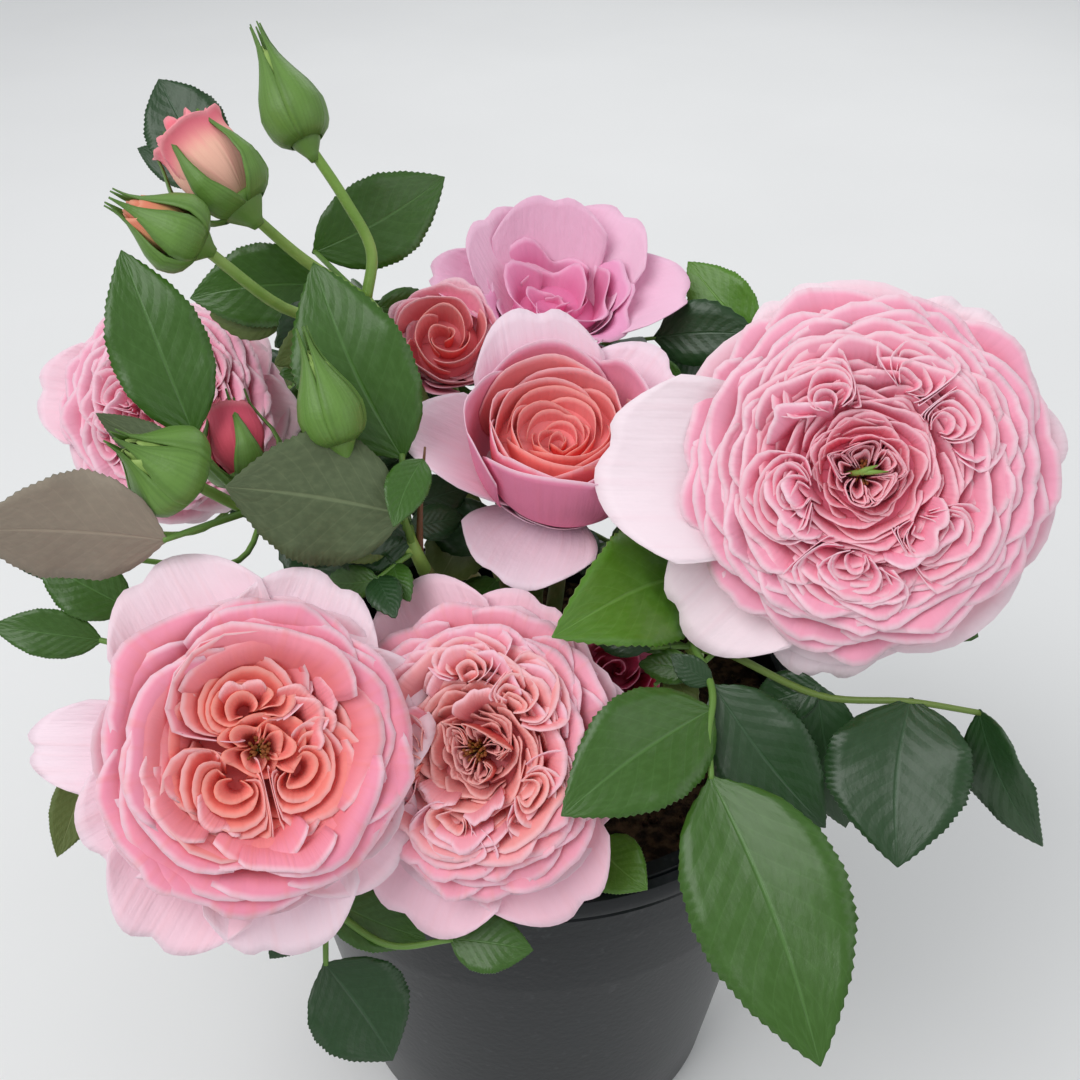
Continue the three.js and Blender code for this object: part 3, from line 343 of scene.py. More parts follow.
def marked(u, v, kind):
    """Marks of a sheet's places for the materials: across, along and one more."""
    return np.stack([part.ravel() for part in np.broadcast_arrays(u, v, kind)], 1)


def curve(path, count):
    """Places along a smooth curve through the given ones, spaced by the source's rule."""
    p = [np.asarray(q, float) for q in path]
    p = [2 * p[0] - p[1], *p, 2 * p[-1] - p[-2]]
    out = []
    for k in range(count):
        f = (len(p) - 3) * k / (count - 1)
        i = min(int(f), len(p) - 4)
        w = f - i
        a, b, c, d = p[i:i + 4]
        t0, t1, t2 = (np.dot(y - x, y - x) ** 0.25 for x, y in ((a, b), (b, c), (c, d)))
        t1 = t1 if t1 >= 1e-4 else 1.0
        t0 = t0 if t0 >= 1e-4 else t1
        t2 = t2 if t2 >= 1e-4 else t1
        m1 = ((b - a) / t0 - (c - a) / (t0 + t1) + (c - b) / t1) * t1
        m2 = ((c - b) / t1 - (d - b) / (t1 + t2) + (d - c) / t2) * t1
        out.append(b + m1 * w + (-3 * b + 3 * c - 2 * m1 - m2) * w * w + (2 * b - 2 * c + m1 + m2) * w ** 3)
    return out


class Surface:
    """Quads gathered for one mesh, with a chart and two marks for the materials."""

    def __init__(self):
        self.points, self.quads, self.charts, self.marks, self.others = [], [], [], [], []
        self.count = 0

    def add(self, points, quads, charts=None, marks=None, others=None):
        n = len(points)
        self.points.append(points)
        self.quads.append(quads + self.count)
        self.charts.append(np.zeros((len(quads), 4, 2)) if charts is None else charts)
        self.marks.append(np.zeros((n, 3)) if marks is None else marks)
        self.others.append(np.zeros((n, 3)) if others is None else others)
        self.count += n

    def arrays(self):
        return np.concatenate(self.points), np.concatenate(self.quads)

    def piece(self, name, material, slot, nodes, chart=False):
        points, quads = self.arrays()
        mesh = bpy.data.meshes.new(name)
        mesh.from_pydata(points * MM, [], quads, shade_flat=False)
        if chart:
            mesh.uv_layers.new(name="OFBake").data.foreach_set("uv", np.concatenate(self.charts).ravel())
        for label, values in (("mark", self.marks), ("other", self.others)):
            attribute = mesh.attributes.new(label, "FLOAT_VECTOR", "POINT")
            attribute.data.foreach_set("vector", np.concatenate(values).ravel())
        mesh.validate()
        return placed(name, mesh, material, nodes)


def linked(name, data):
    """An object in the scene."""
    item = bpy.data.objects.new(name, data)
    bpy.context.scene.collection.objects.link(item)
    return item


def placed(name, mesh, material, nodes):
    """A piece of the plant from a mesh, riding on the one body."""
    mesh.materials.append(material)
    item = linked(name, mesh)
    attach(item, "root")
    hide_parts(*nodes)
    return item


def grid_quads(columns, rows):
    i, j = np.meshgrid(np.arange(columns), np.arange(rows))
    a = (j * (columns + 1) + i).ravel()
    return np.stack([a, a + 1, a + columns + 2, a + columns + 1], 1)


def hoop_quads(count, sides, closed=False):
    """Quads between rings of places, from the last ring back to the first as well when closed."""
    i = np.arange(sides)
    j = (i + 1) % sides
    return np.concatenate([np.stack([k * sides + i, k * sides + j, n * sides + j, n * sides + i], 1)
                           for k in range(count - (not closed)) for n in [(k + 1) % count]])


def shell(surface, grid, thick, mark, other=None, cell=(0, 0, 1)):
    """A thin closed sheet from a grid of points, rows along it and columns across.

    mark and other are what the materials read at each place, the last figure of other being the
    side. cell is the square for its two charts as (x, y, size)."""
    rows, columns = grid.shape[0] - 1, grid.shape[1] - 1
    normal = np.cross(np.gradient(grid, axis=1), np.gradient(grid, axis=0))
    normal = normal / np.maximum(np.linalg.norm(normal, axis=2, keepdims=True), 1e-9)
    half = (np.asarray(thick) / 2)[..., None]
    n = grid.shape[0] * grid.shape[1]
    quads = grid_quads(columns, rows)
    edge = np.concatenate([
        np.arange(columns + 1), np.arange(1, rows + 1) * (columns + 1) + columns,
        rows * (columns + 1) + np.arange(columns - 1, -1, -1), np.arange(rows - 1, 0, -1) * (columns + 1)])
    following = np.roll(edge, -1)
    x, y, size = cell
    u, v = np.meshgrid(np.linspace(0.01, 0.49, columns + 1), np.linspace(0.02, 0.98, rows + 1))
    chart = np.stack([x + u.ravel() * size, y + v.ravel() * size], 1)
    charts = [chart[quads], chart[quads[:, ::-1]] + (size / 2, 0),
              chart[np.stack([edge, edge, following, following], 1)]]
    other = np.zeros((n, 3)) if other is None else other
    surface.add(
        np.concatenate([(grid + normal * side).reshape(-1, 3) for side in (half, -half)]),
        np.concatenate([quads, quads[:, ::-1] + n, np.stack([edge, edge + n, following + n, following], 1)]),
        np.concatenate(charts), np.concatenate([mark, mark]),
        np.concatenate([other, other * (1, 1, 0) + (0, 0, 1)]))


def tube(surface, path, radii, sides=10, mark=STEM, rough=None):
    """A closed limb along a path, with rounded ends."""
    path = [np.asarray(p, float) for p in path]
    ahead = unit(path[1] - path[0])
    side = np.cross([0, 0, 1], ahead)
    side = unit(side) if np.linalg.norm(side) > 0.1 else np.array([1.0, 0, 0])
    rings = []
    last = len(path) - 1
    for i, (spot, radius) in enumerate(zip(path, radii)):
        way = unit(path[min(last, i + 1)] - path[max(0, i - 1)])
        side = unit(side - way * np.dot(side, way))
        axes = side, np.cross(way, side)
        if i == 0:
            rings.append((spot - way * radius * 0.02, radius * 0.02, *axes))
        rings.append((spot, radius, *axes))
        if i == last:
            rings.append((spot + way * radius * 0.3, radius * 0.02, *axes))
    turns = np.arange(sides) * TAU / sides
    rows = []
    for k, (spot, radius, a, b) in enumerate(rings):
        r = radius * (1 + (rough(k, turns) if rough else 0))
        rows.append(spot + (r * np.cos(turns))[:, None] * a + (r * np.sin(turns))[:, None] * b)
    marks = marked(turns / TAU, np.linspace(0, 1, len(rings))[:, None], mark)
    surface.add(np.concatenate(rows), hoop_quads(len(rings), sides), None, marks)


# Blooms
def facing(bloom):
    """A bloom's axis, its right and top as seen from the front, and its seat on the stem."""
    up = unit(bloom.axis)
    right = unit(np.cross([0, 0, 1], up))
    top = np.cross(up, right)
    seat = np.array(bloom.face, float) - up * bloom.depth
    return up, right, top, seat


def guard_grid(guard, rows, columns, draw, ruffle):
    """A guard petal on the same midrib as in the solids, in the bloom's own frame."""
    turn, length, width, start, end, curl = guard
    turn = radians(turn)
    steps = 12
    v = (np.arange(steps) + 0.5) / steps
    lean = np.radians(mix(start, end, v) + curl * v ** 5)
    rib = [np.cumsum([first, *part * length / steps])
           for first, part in ((2.0, np.sin(lean)), (1.0, np.cos(lean)))]
    u, v = sheet(columns, rows)
    notch = 0.05 * np.exp(-((u - draw(-0.3, 0.3)) / 0.16) ** 2) * v ** 6
    f = v * (1 - 0.3 * np.abs(u) ** 2.4 * v ** 1.5) - notch
    lean = np.radians(start + (end - start) * f + curl * f ** 5)
    across = 0.5 * width * u * (0.22 + 0.78 * np.sin(np.minimum(1, f / 0.72) * QUARTER))
    wave = sum(a * np.sin(k * u + TAU * draw()) for a, k in ((0.9, 4), (0.5, 7), (0.25, 12)))
    reach = 0.9 * width
    rise = reach * (1 - np.cos(across / reach)) + ruffle * f ** 3 * wave * (0.4 + np.abs(u))
    side = reach * np.sin(across / reach)
    r, z = (np.interp(f * steps, np.arange(steps + 1), part) for part in rib)
    r, z = r - np.cos(lean) * rise, z + np.sin(lean) * rise
    out, over = heading(turn), heading(turn + QUARTER)
    return r[..., None] * out + side[..., None] * over + z[..., None] * (0, 0, 1), u, v


def ripple(u, pitches, phases):
    """Three waves across a sheet, each with a smaller share."""
    return sum(share * np.sin(pitch * u + phase)
               for share, pitch, phase in zip((1, 0.6, 0.35), pitches, phases))


def ring_grid(turn, half, edge, height, foot, control, draw, rows, columns, lip, ruffle, tuck):
    """A petal that stands in a ring round the axis and turns out at its edge."""
    u, v = sheet(columns, rows)
    notch = 0.07 * np.exp(-((u - draw(-0.5, 0.5)) / 0.14) ** 2) * v ** 6 * (draw() > 0.4)
    f = v * (1 - 0.22 * np.abs(u) ** 2.6 * v ** 1.5) - notch
    phases = [TAU * draw() for _ in range(4)]
    r = (1 - f) ** 2 * foot + 2 * f * (1 - f) * control[0] + f * f * edge
    z = (1 - f) ** 2 * 1.5 + 2 * f * (1 - f) * control[1] + f * f * height
    s = np.clip((f - 0.72) / 0.28, 0, 1)
    r = r + lip * s ** 1.7 + tuck * u
    z = z - 0.55 * lip * s ** 2.6
    wave = ripple(u, (3.1, 5.7, 10.3), phases)
    z = z + ruffle * wave * f ** 4
    r = r + ruffle * (np.cos(4.3 * u + phases[3]) + 0.6 * wave) * f ** 3
    spread = half * (0.35 + 0.65 * np.sin(np.minimum(1, f / 0.7) * QUARTER))
    return polar(r, turn + u * spread, z), u, v


def swirl_grid(turn, spread, reach, hub, low, profile, draw, rows, columns, ruffle):
    """A petal folded to a U with its two legs running towards a hub."""
    u, v = sheet(columns, rows)
    phases = [TAU * draw() for _ in range(4)]
    off = draw(-0.3, 0.3)
    legs = np.where(u < 0, draw(0.15, 0.6), draw(0.15, 0.6))
    away = 1 - np.abs(u) ** draw(1.9, 3.0)
    r = reach * (legs + (1 - legs) * away) * (0.42 + 0.58 * v ** 0.9)
    wave = ripple(u, (4.1, 8.3, 15.0), (phases[0], phases[1], phases[3]))
    swing = spread * (np.tanh(1.8 * u) / tanh(1.8) + off * away) + 0.05 * wave * v ** 2
    r = r + ruffle * 1.2 * np.sin(6.1 * u + phases[2]) * v ** 2 * away + 0.4 * ruffle * wave * v ** 3
    s = np.clip((v - 0.7) / 0.3, 0, 1)
    r = r + 1.5 * s ** 2 * away
    angle = turn + swing * (0.7 + 0.3 * v)
    x, y = hub[0] + r * np.cos(angle), hub[1] + r * np.sin(angle)
    top = np.interp(np.hypot(x, y), profile[0], profile[1]) + ruffle * wave * 0.9 - 0.5 * s ** 2
    return np.stack([x, y, mix(np.minimum(low, top - 6), top + mix(-0.8, 0.8, off / 0.6 + 0.5), v)], 2), u, v


def pressed(grid, hub, others):
    """Folds of one hub pressed flat where they meet those of the next."""
    for other in others:
        line = np.subtract(other, hub)
        space = np.linalg.norm(line)
        if space < 5:
            continue
        line = line / space
        room = min(4.0, space * 0.3)
        over = np.maximum((grid[..., :2] - hub) @ line - space / 2 + room, 0)
        grid[..., :2] -= (over - room * over / (room + over))[..., None] * line
    return grid


def swirl_petals(bloom, profile, draw):
    """Nested folds round the heart of a rosette and round several hubs about it."""
    (swirls, reach), (hubs, ring, extent) = bloom.folds, bloom.hubs
    last = profile[0][-1]
    lobed = ring < LOBED
    groups = []
    start = TAU * draw()
    for k in range(hubs):
        turn = start + TAU * (k + draw(-0.36, 0.36)) / hubs
        far = ring * (draw(0.9, 1.1) if lobed else draw(0.62, 1.32))
        hub = (far * cos(turn), far * sin(turn))
        aim = turn + draw(-0.7, 0.7) * (0.5 if lobed else 1)
        groups.append((hub, aim, extent * draw(0.85, 1.1), 2.5 if lobed else 1.5))
    start = TAU * draw()
    for k in range(swirls):
        turn = start + TAU * (k + draw(-0.25, 0.25)) / swirls
        hub = (draw(-2, 2), draw(-2, 2))
        groups.append((hub, turn, reach * draw(0.8, 1.1), 1.15 * pi / swirls))
    petals = []
    spots = [group[0] for group in groups[:hubs]]
    for hub, middle, size, widest in groups:
        others = [] if lobed and hub not in spots else [spot for spot in spots if spot != hub]
        if hub in spots and not lobed:
            others.append((0, 0))
        count = int(size / 3)
        for part in (np.arange(count) + 1) / count:
            far = mix(2.5, size * draw(0.92, 1.08), part)
            grid, u, v = swirl_grid(middle + draw(-0.15, 0.15), widest * mix(0.45, 1, part ** 0.8),
                                    far, hub, 8, profile, draw, 7, 22, mix(0.4, 1.1, part))
            grid = pressed(grid, hub, others)
            petals.append((grid, u, v, 0.02 + 0.5 * min(1, hypot(*grid[-1, 11, :2]) / last)))
    return petals


def ring_petals(bloom, profile, draw):
    """Rings of petals from the heart to the brim of a rosette, with some broad ones among them."""
    (density, width), (roll, ruffle), (_, ring, extent) = bloom.lush, bloom.edges, bloom.hubs
    edges, heights = profile
    last = edges[-1]
    inner = 0.85 * (ring + extent)
    petals = []
    radius = 0.66 * (ring + extent) if ring < LOBED else 8
    while radius < last:
        part = radius / last
        sink = 3.2 if radius < inner else 0
        count = max(5, round(np.interp(radius, edges[1:], [r[0] for r in bloom.rings]) * density))
        turn = TAU * draw()
        for k in range(count):
            angle = turn + TAU * (k + draw(-0.25, 0.25)) / count
            edge = radius + draw(-1.8, 1.8)
            height = np.interp(edge, edges, heights) + draw(-1.2, 0.9) - sink
            control = (edge * mix(1.0, 0.86, part), height * mix(0.7, 1.05, part))
            half = pi / count * width * draw(0.8, 1.15)
            grid = ring_grid(angle, half, edge, height, min(0.45 * edge, 13), control, draw, 9, 12,
                             roll * mix(0.4, 1.3, part), ruffle * mix(0.7, 1, part), draw(-1.8, 1.8))
            petals.append((*grid, 0.06 + 0.56 * part ** 1.2))
        radius += mix(2.4, 3.4, part)
    for _ in range(int(last / 5)):
        edge = draw(0.4, 0.8) * last
        height = np.interp(edge, edges, heights) + draw(0.2, 1.6)
        grid = ring_grid(TAU * draw(), draw(0.35, 0.55), edge, height, 0.5 * edge,
                         (edge * 0.85, height * 0.9), draw, 12, 16, 1.5, ruffle * 0.8, draw(-4.5, 4.5))
        petals.append((*grid, 0.3 + 0.25 * edge / last))
    return petals


def heart_shade_floor(profile):
    """A sheet in painted shade that closes the view down between the petals."""
    edges, heights = profile
    u, v = sheet(HEART_FLOOR[1] - 1, HEART_FLOOR[0] - 1, 0.02)
    r = v * edges[-1] * 0.8
    z = np.maximum(1, np.interp(r, edges, heights) - 9 - 8 * v ** 3)
    return polar(r, pi * u * 0.999, z), u, v


def cup_petals(bloom, profile, draw):
    """A spiral of wrapped petals inside a cup."""
    (wraps, last), (roll, ruffle), (edges, heights) = bloom.folds, bloom.edges, profile
    wall = bloom.wall or (last * 1.05, heights[-1] * 0.5)
    petals = []
    for k in range(wraps):
        part = (k + 1) / wraps
        edge = last * 0.92 * part ** 0.85
        height = np.interp(edge, edges, heights) + draw(-0.6, 0.6) - mix(5, 1.5, part) * (last > 20)
        control = (mix(edge * 1.02, wall[0], part ** 3), mix(height * 0.6, wall[1] * 0.9, part))
        grid = ring_grid(2.4 * k + draw(-0.2, 0.2), mix(2.0, 1.15, part), edge, height,
                         0.15 * edge + 1, control, draw, 12, 18, roll * mix(0.1, 0.7, part),
                         ruffle * mix(0.5, 1.3, part), 1.2 + 2.2 * part)
        petals.append((*grid, 0.02 + 0.4 * part))
    for k in range(5):
        angle = radians(bloom.guards[0][0]) + TAU * k / 5 + draw(-0.15, 0.15)
        height = heights[-1] - (draw(0, 6) if bloom.kind == "loose" else draw(0.5, 3))
        grid = ring_grid(angle, 0.95, last + 1.2, height, 5, (wall[0] * 1.12, wall[1] * 0.7), draw, 14, 20,
                         roll * 1.4, ruffle * 1.2, 1.6)
        petals.append((*grid, 0.78))
    return petals


def under_petals(bloom, draw):
    """Broad outer petals that close the underside down to the hip."""
    _, edge, height = bloom.rings[-1]
    wide, low = bloom.wall or (edge * (1 + bloom.scallop) + 1.2, height - 4)
    if bloom.kind == "cup":
        wide *= 0.8
    petals = []
    for k in range(UNDER_PETALS):
        angle = TAU * (k + draw(-0.1, 0.1)) / UNDER_PETALS
        grid = ring_grid(angle, 0.72, wide * 0.98, max(2.5, low - 4), 3.0, (wide * 0.62, max(1, low * 0.12)),
                         draw, 10, 12, 0.5, 0.4, 0.8)
        grid[0][..., 2] -= 1.7 * (1 - grid[2])
        petals.append((*grid, 0.93))
    return petals


def bloom_petals(bloom):
    """All petals of a bloom in its own frame as (grid, u, v, place from heart to edge)."""
    draw = numbers(bloom.seed * 77 + 5)
    _, edges, heights = zip(*bloom.rings)
    profile = ([0, *edges], [heights[0] - 3, *heights])
    if bloom.kind == "rosette":
        petals = swirl_petals(bloom, profile, draw) + ring_petals(bloom, profile, draw)
    else:
        petals = cup_petals(bloom, profile, draw)
    petals.append((*heart_shade_floor(profile), 0.3))
    petals += under_petals(bloom, draw)
    return petals + [(*guard_grid(guard, *GUARD_GRID, draw, bloom.flutter), 0.97) for guard in bloom.guards]


def edge_distance(grid):
    """How far each place of a petal is from the petal's outer edge, in millimetres."""
    steps = np.linalg.norm(np.diff(grid, axis=0), axis=2)
    return np.concatenate([np.cumsum(steps[::-1], axis=0)[::-1], np.zeros((1, grid.shape[1]))]).ravel()


def build_bloom(bloom, greens, leaf_trees):
    up, right, top, seat = facing(bloom)
    petals = bloom_petals(bloom)
    draw = numbers(bloom.seed + 900)
    side = ceil(sqrt(len(petals)))
    surface = Surface()
    for k, (grid, u, v, place) in enumerate(petals):
        spots = grid @ np.stack([right, top, up]) + seat
        if place < INNER and any(meets(spots, tree) for tree in leaf_trees):
            continue
        # The heart's floor counts as far from any edge, so it takes mostly the painted shade of the gaps
        far = edge_distance(grid) + (FLOOR_SHADE_DEPTH if u.shape == HEART_FLOOR else 0)
        shell(surface, spots, PETAL_SHEET - PETAL_THINNER * smooth(0.6, 1, v), marked(u, v, place),
              marked(draw(), far, 0), ((k % side) / side, (k // side) / side, 1 / side))
    name = "bloom_" + bloom.name
    surface.piece("petals_" + bloom.name, petal_material(name, bloom.colors),
                  "crimson_petal" if bloom.name == "crimson" else "petal", [name], chart=True)
    if bloom.name == "right":
        for reach, lean in ((8, 0.12), (5, 0.5)):
            tube(greens, [seat + up * (19 + z) + right * (r * reach - 2) + top * lean * r * reach for r, z in
                          ((-0.5, 0), (-0.1, 5), (0.4, 6.6), (1, 7.2))], [0.3, 0.75, 0.85, 0.15], 8)
    hip = bloom.hip
    profile = [(0.05, -1.5), (0.62, -1.5), (0.8, -1.35), (1, -1), (1.12, -0.55), (1.05, -0.2), (1.25, 0),
               (1.5, 0.25)]
    tube(greens, [seat + up * (z * hip) for _, z in profile], [r * hip for r, _ in profile], 18, HIP)
    for k in range(SEPALS):
        turn = TAU * k / SEPALS + draw()
        out = right * cos(turn) + top * sin(turn)
        sepal(greens, seat + up * -0.1 * hip + out * hip * 0.9, unit(out + up * 0.12), unit(up - out * 0.12),
              hip * 3.6, hip * 1.25, -0.35)
    return surface.arrays()


def sepal(surface, foot, along, up, length, width, bend):
    """A pointed sepal from its foot, bending up or down along its length."""
    w, s = sheet(4, 10)
    shape = np.interp(s, [0, 0.15, 0.4, 0.7, 0.85, 1], [0.75, 1, 0.8, 0.35, 0.14, 0.02])
    angle = bend * s * 1.6
    x, z = (np.cumsum(part, axis=0) / len(s) for part in (np.cos(angle), np.sin(angle)))
    x, z = (x - x[0]) * length, (z - z[0]) * length + shape * np.abs(w) * width * 0.12
    y = shape * w * width / 2
    grid = foot + x[..., None] * along + y[..., None] * np.cross(along, up) + z[..., None] * up
    shell(surface, grid, SEPAL_SHEET, marked(w, s, SEPAL))


# Leaves and buds
def leaf_grid(foot, tip, width, roll, stations, columns, draw):
    """A toothed leaflet between its foot and tip, turned to the show side as in the solids."""
    start = np.array(foot, float)
    along = np.array(tip, float) - start
    length = np.linalg.norm(along)
    along = along / length
    look = unit(SHOW_POINT - start)
    up = unit(look - along * np.dot(look, along))
    up = up * cos(radians(roll)) + np.cross(along, up) * sin(radians(roll))
    w, s = sheet(columns, stations)
    shape = np.interp(s, [0, 0.03, 0.09, 0.16, 0.3, 0.45, 0.6, 0.76, 0.88, 0.95, 1],
                      [0.02, 0.16, 0.45, 0.68, 0.93, 1, 0.93, 0.66, 0.36, 0.16, 0.01])
    odd = (np.arange(stations + 1) % 2 == 1)[:, None]
    teeth = np.where(odd, 1.018, 0.985)
    teeth[0] = teeth[-1] = 1
    edge = np.abs(w) ** 3
    across = shape * w * (1 + (teeth - 1) * edge)
    forward = s + np.where(odd, 0.4, 0) / stations * edge * (s < 0.97)
    bend, slow, quick = draw(-0.05, 0.05), TAU * draw(), TAU * draw()
    lift = (0.2 * length * forward * (1 - forward) + np.abs(across) * width * 0.06
            + 0.035 * width * np.sin(9 * forward + slow) * across ** 2
            + 0.02 * width * np.sin(17 * forward + quick) * np.abs(across) ** 3
            - 0.06 * length * np.maximum(0, forward - 0.7) ** 1.5)
    reach = forward * (length + 1.2) - 1.2
    sideways = across * width / 2 + bend * length * np.sin(pi * forward)
    grid = start + reach[..., None] * along + sideways[..., None] * np.cross(along, up) + lift[..., None] * up
    return grid, marked(w, s, 0)


covers = [(np.array(bloom.face, float) - unit(bloom.axis) * bloom.depth * 0.45, 0.95 * bloom.rings[-1][1])
          for bloom in BLOOMS]
screens = covers + [(np.array(middle, float), width) for middle, width in SCREENS]


def sights(spot, balls):
    """For each ball: the distances of a spot and of the ball, their angle as seen, the ball's width."""
    ray = spot - SHOW_POINT
    far = np.linalg.norm(ray)
    for middle, width in balls:
        line = middle - SHOW_POINT
        near = np.linalg.norm(line)
        yield far, near, acos(np.clip(np.dot(ray, line) / far / near, -1, 1)), width


def hides(spot, reach):
    """Whether a leaf there stands before a bloom as the photo sees it."""
    return any(far < near and angle < 0.75 * width / near + 0.35 * reach / far
               for far, near, angle, width in sights(spot, covers))


def is_free(spot, reach, hollows):
    """Whether a wild leaf may grow there: inside the crown, clear of the blooms and behind them."""
    if np.linalg.norm((spot - CROWN[0]) / CROWN[1]) > 1 or spot[2] - reach * 0.6 < LOWEST_LEAF:
        return False
    if any(np.linalg.norm(middle - spot) < width * 0.85 + reach * 0.4 for middle, width in covers):
        return False
    return any(np.linalg.norm(spot - middle) < width for middle, width in hollows) or any(
        far > near and angle + 0.4 * reach / far < width / near
        for far, near, angle, width in sights(spot, screens))


def wild_leaves(path, count, seed, size, hollows):
    """Compound leaves round a stem by the source's rule: ribs and blades."""
    draw = numbers(seed)
    leaves = []
    total = len(path) - 1
    for k in range(count):
        f = (k + 0.5) / count * total
        i = min(total - 1, int(f))
        node = mix(path[i], path[i + 1], f - i)
        turn = radians(GOLDEN_TURN * k + 360 * draw())
        out = unit(heading(turn) + (0, 0, draw(-0.25, 0.55)))
        long = size * draw(0.85, 1.15)
        droop = draw(0.1, 0.45)

        def along(t):
            return node + out * t * long * 2.1 + np.array([0, 0, -droop * long * t * t * 1.4])

        blades, used = [], []
        for t, way, part in LEAFLETS:
            t = t * RIB_SHARE
            foot = along(t)
            ahead = unit(along(t + 0.1) - foot)
            aim = unit(ahead * (0.45 if way else 1) + heading(turn + QUARTER) * way)
            tip = foot + aim * long * part
            tip[2] -= long * part * 0.22 * draw()
            if is_free((foot + tip) / 2, long * part * 0.5, hollows):
                blades.append((foot, tip, long * part * 0.62))
                used.append(t)
        if blades:
            leaves.append(([along(t * max(used)) for t in (0, 0.5, 1)], blades))
    return leaves


def build_bud(bud, greens, surfaces):
    """A bud: hip, wrapped petals and five sepals that hug them or stand off an open one."""
    foot, tip, (radius, colors, opened) = np.array(bud[:3], float), np.array(bud[3:6], float), bud[6:]
    axis = tip - foot
    length = np.linalg.norm(axis)
    axis = axis / length
    side = unit(np.cross([0, 0, 1], axis))
    basis = np.stack([side, np.cross(axis, side), axis])
    draw = numbers(int(abs(foot).sum()))
    profile = [(-0.2, 0.15), (-0.14, 0.24), (-0.08, 0.38), (-0.02, 0.52), (0.04, 0.62), (0.1, 0.58)]
    tube(greens, [foot + axis * f * length for f, _ in profile], [r * radius for _, r in profile], 18, HIP)
    surface = surfaces.setdefault(colors, Surface())
    for k in range(BUD_PETALS):
        part = (k + 1) / BUD_PETALS
        grid, u, v = ring_grid(
            2.3 * k, 1.5, mix(0.05, 0.22 + 0.9 * opened, part) * radius, length * mix(1.0, 0.9, part),
            0.3 * radius, (radius * mix(0.9, 1.22 + 0.3 * opened, part), length * 0.42), draw, 14, 16,
            radius * part * (0.08 + 0.8 * opened), (0.03 + 0.08 * opened) * radius, 0.04 * radius)
        grid[..., 2] = np.maximum(grid[..., 2], 0)
        shell(surface, grid @ basis + foot, BUD_SHEET, marked(u, v, 0.3 + 0.3 * part),
              marked(part, edge_distance(grid), 0))
    w, s = sheet(8, 18)
    shut = max(0.0, 1 - 5 * opened)
    f = s * mix(np.interp(opened, [0.1, 0.3, 0.5], [1.1, 1.0, 0.85]), 1.2, shut)
    hug = np.interp(f, [0, 0.06, 0.15, 0.32, 0.5, 0.7, 0.85, 1, 1.15, 1.3],
                    [0.52, 0.82, 1.02, 1.1, 0.92, 0.56, 0.32, 0.18, 0.13, 0.12])
    half = mix(np.interp(s, [0, 0.12, 0.35, 0.65, 1], [0.6, 0.44, 0.22, 0.1, 0.02]), np.interp(
        s, [0, 0.2, 0.45, 0.62, 0.75, 0.85, 1], [0.74, 0.72, 0.68, 0.55, 0.4, 0.3, 0.06]), shut)
    for k in range(SEPALS):
        off = hug + 0.07 + 0.02 * (k % 2) + opened * draw(0.5, 1.5) * s ** 2
        r = off * radius * (1 + 0.05 * (1 - np.abs(w)))
        grid = polar(r, TAU * (k + 0.3) / SEPALS + half * w, f * length)
        shell(greens, grid @ basis + foot, SEPAL_SHEET, marked(w, s, SEPAL))


def build_stamens(bloom, surface):
    """Stamens round the eye of an open bloom."""
    up, right, top, seat = facing(bloom)
    draw = numbers(bloom.seed + 40)
    height = bloom.rings[0][2]
    for _ in range(STAMENS):
        turn, far = TAU * draw(), draw(0.6, 3.2)
        out = right * cos(turn) + top * sin(turn)
        tall = height - draw(1.5, 4.5)
        path = [seat + up * (tall - low) + out * far * f for low, f in ((7, 0.5), (3, 0.8), (0, 1))]
        tube(surface, path, [0.25, 0.22, 0.22], 5, FILAMENT)
        tube(surface, [path[2] + (out + up) * f for f in (0, 0.5, 0.9)], [0.3, 0.55, 0.3], 6, ANTHER)


class Value:
    """An output in a material, with arithmetic that adds nodes."""

    def __init__(self, look, socket):
        self.look, self.socket = look, socket

    def __add__(self, other):
        return self.look.math("ADD", self, other)

    def __sub__(self, other):
        return self.look.math("SUBTRACT", self, other)

    def __rsub__(self, other):
        return self.look.math("SUBTRACT", other, self)

    def __mul__(self, other):
        return self.look.math("MULTIPLY", self, other)

    def __abs__(self):
        return self.look.math("ABSOLUTE", self)


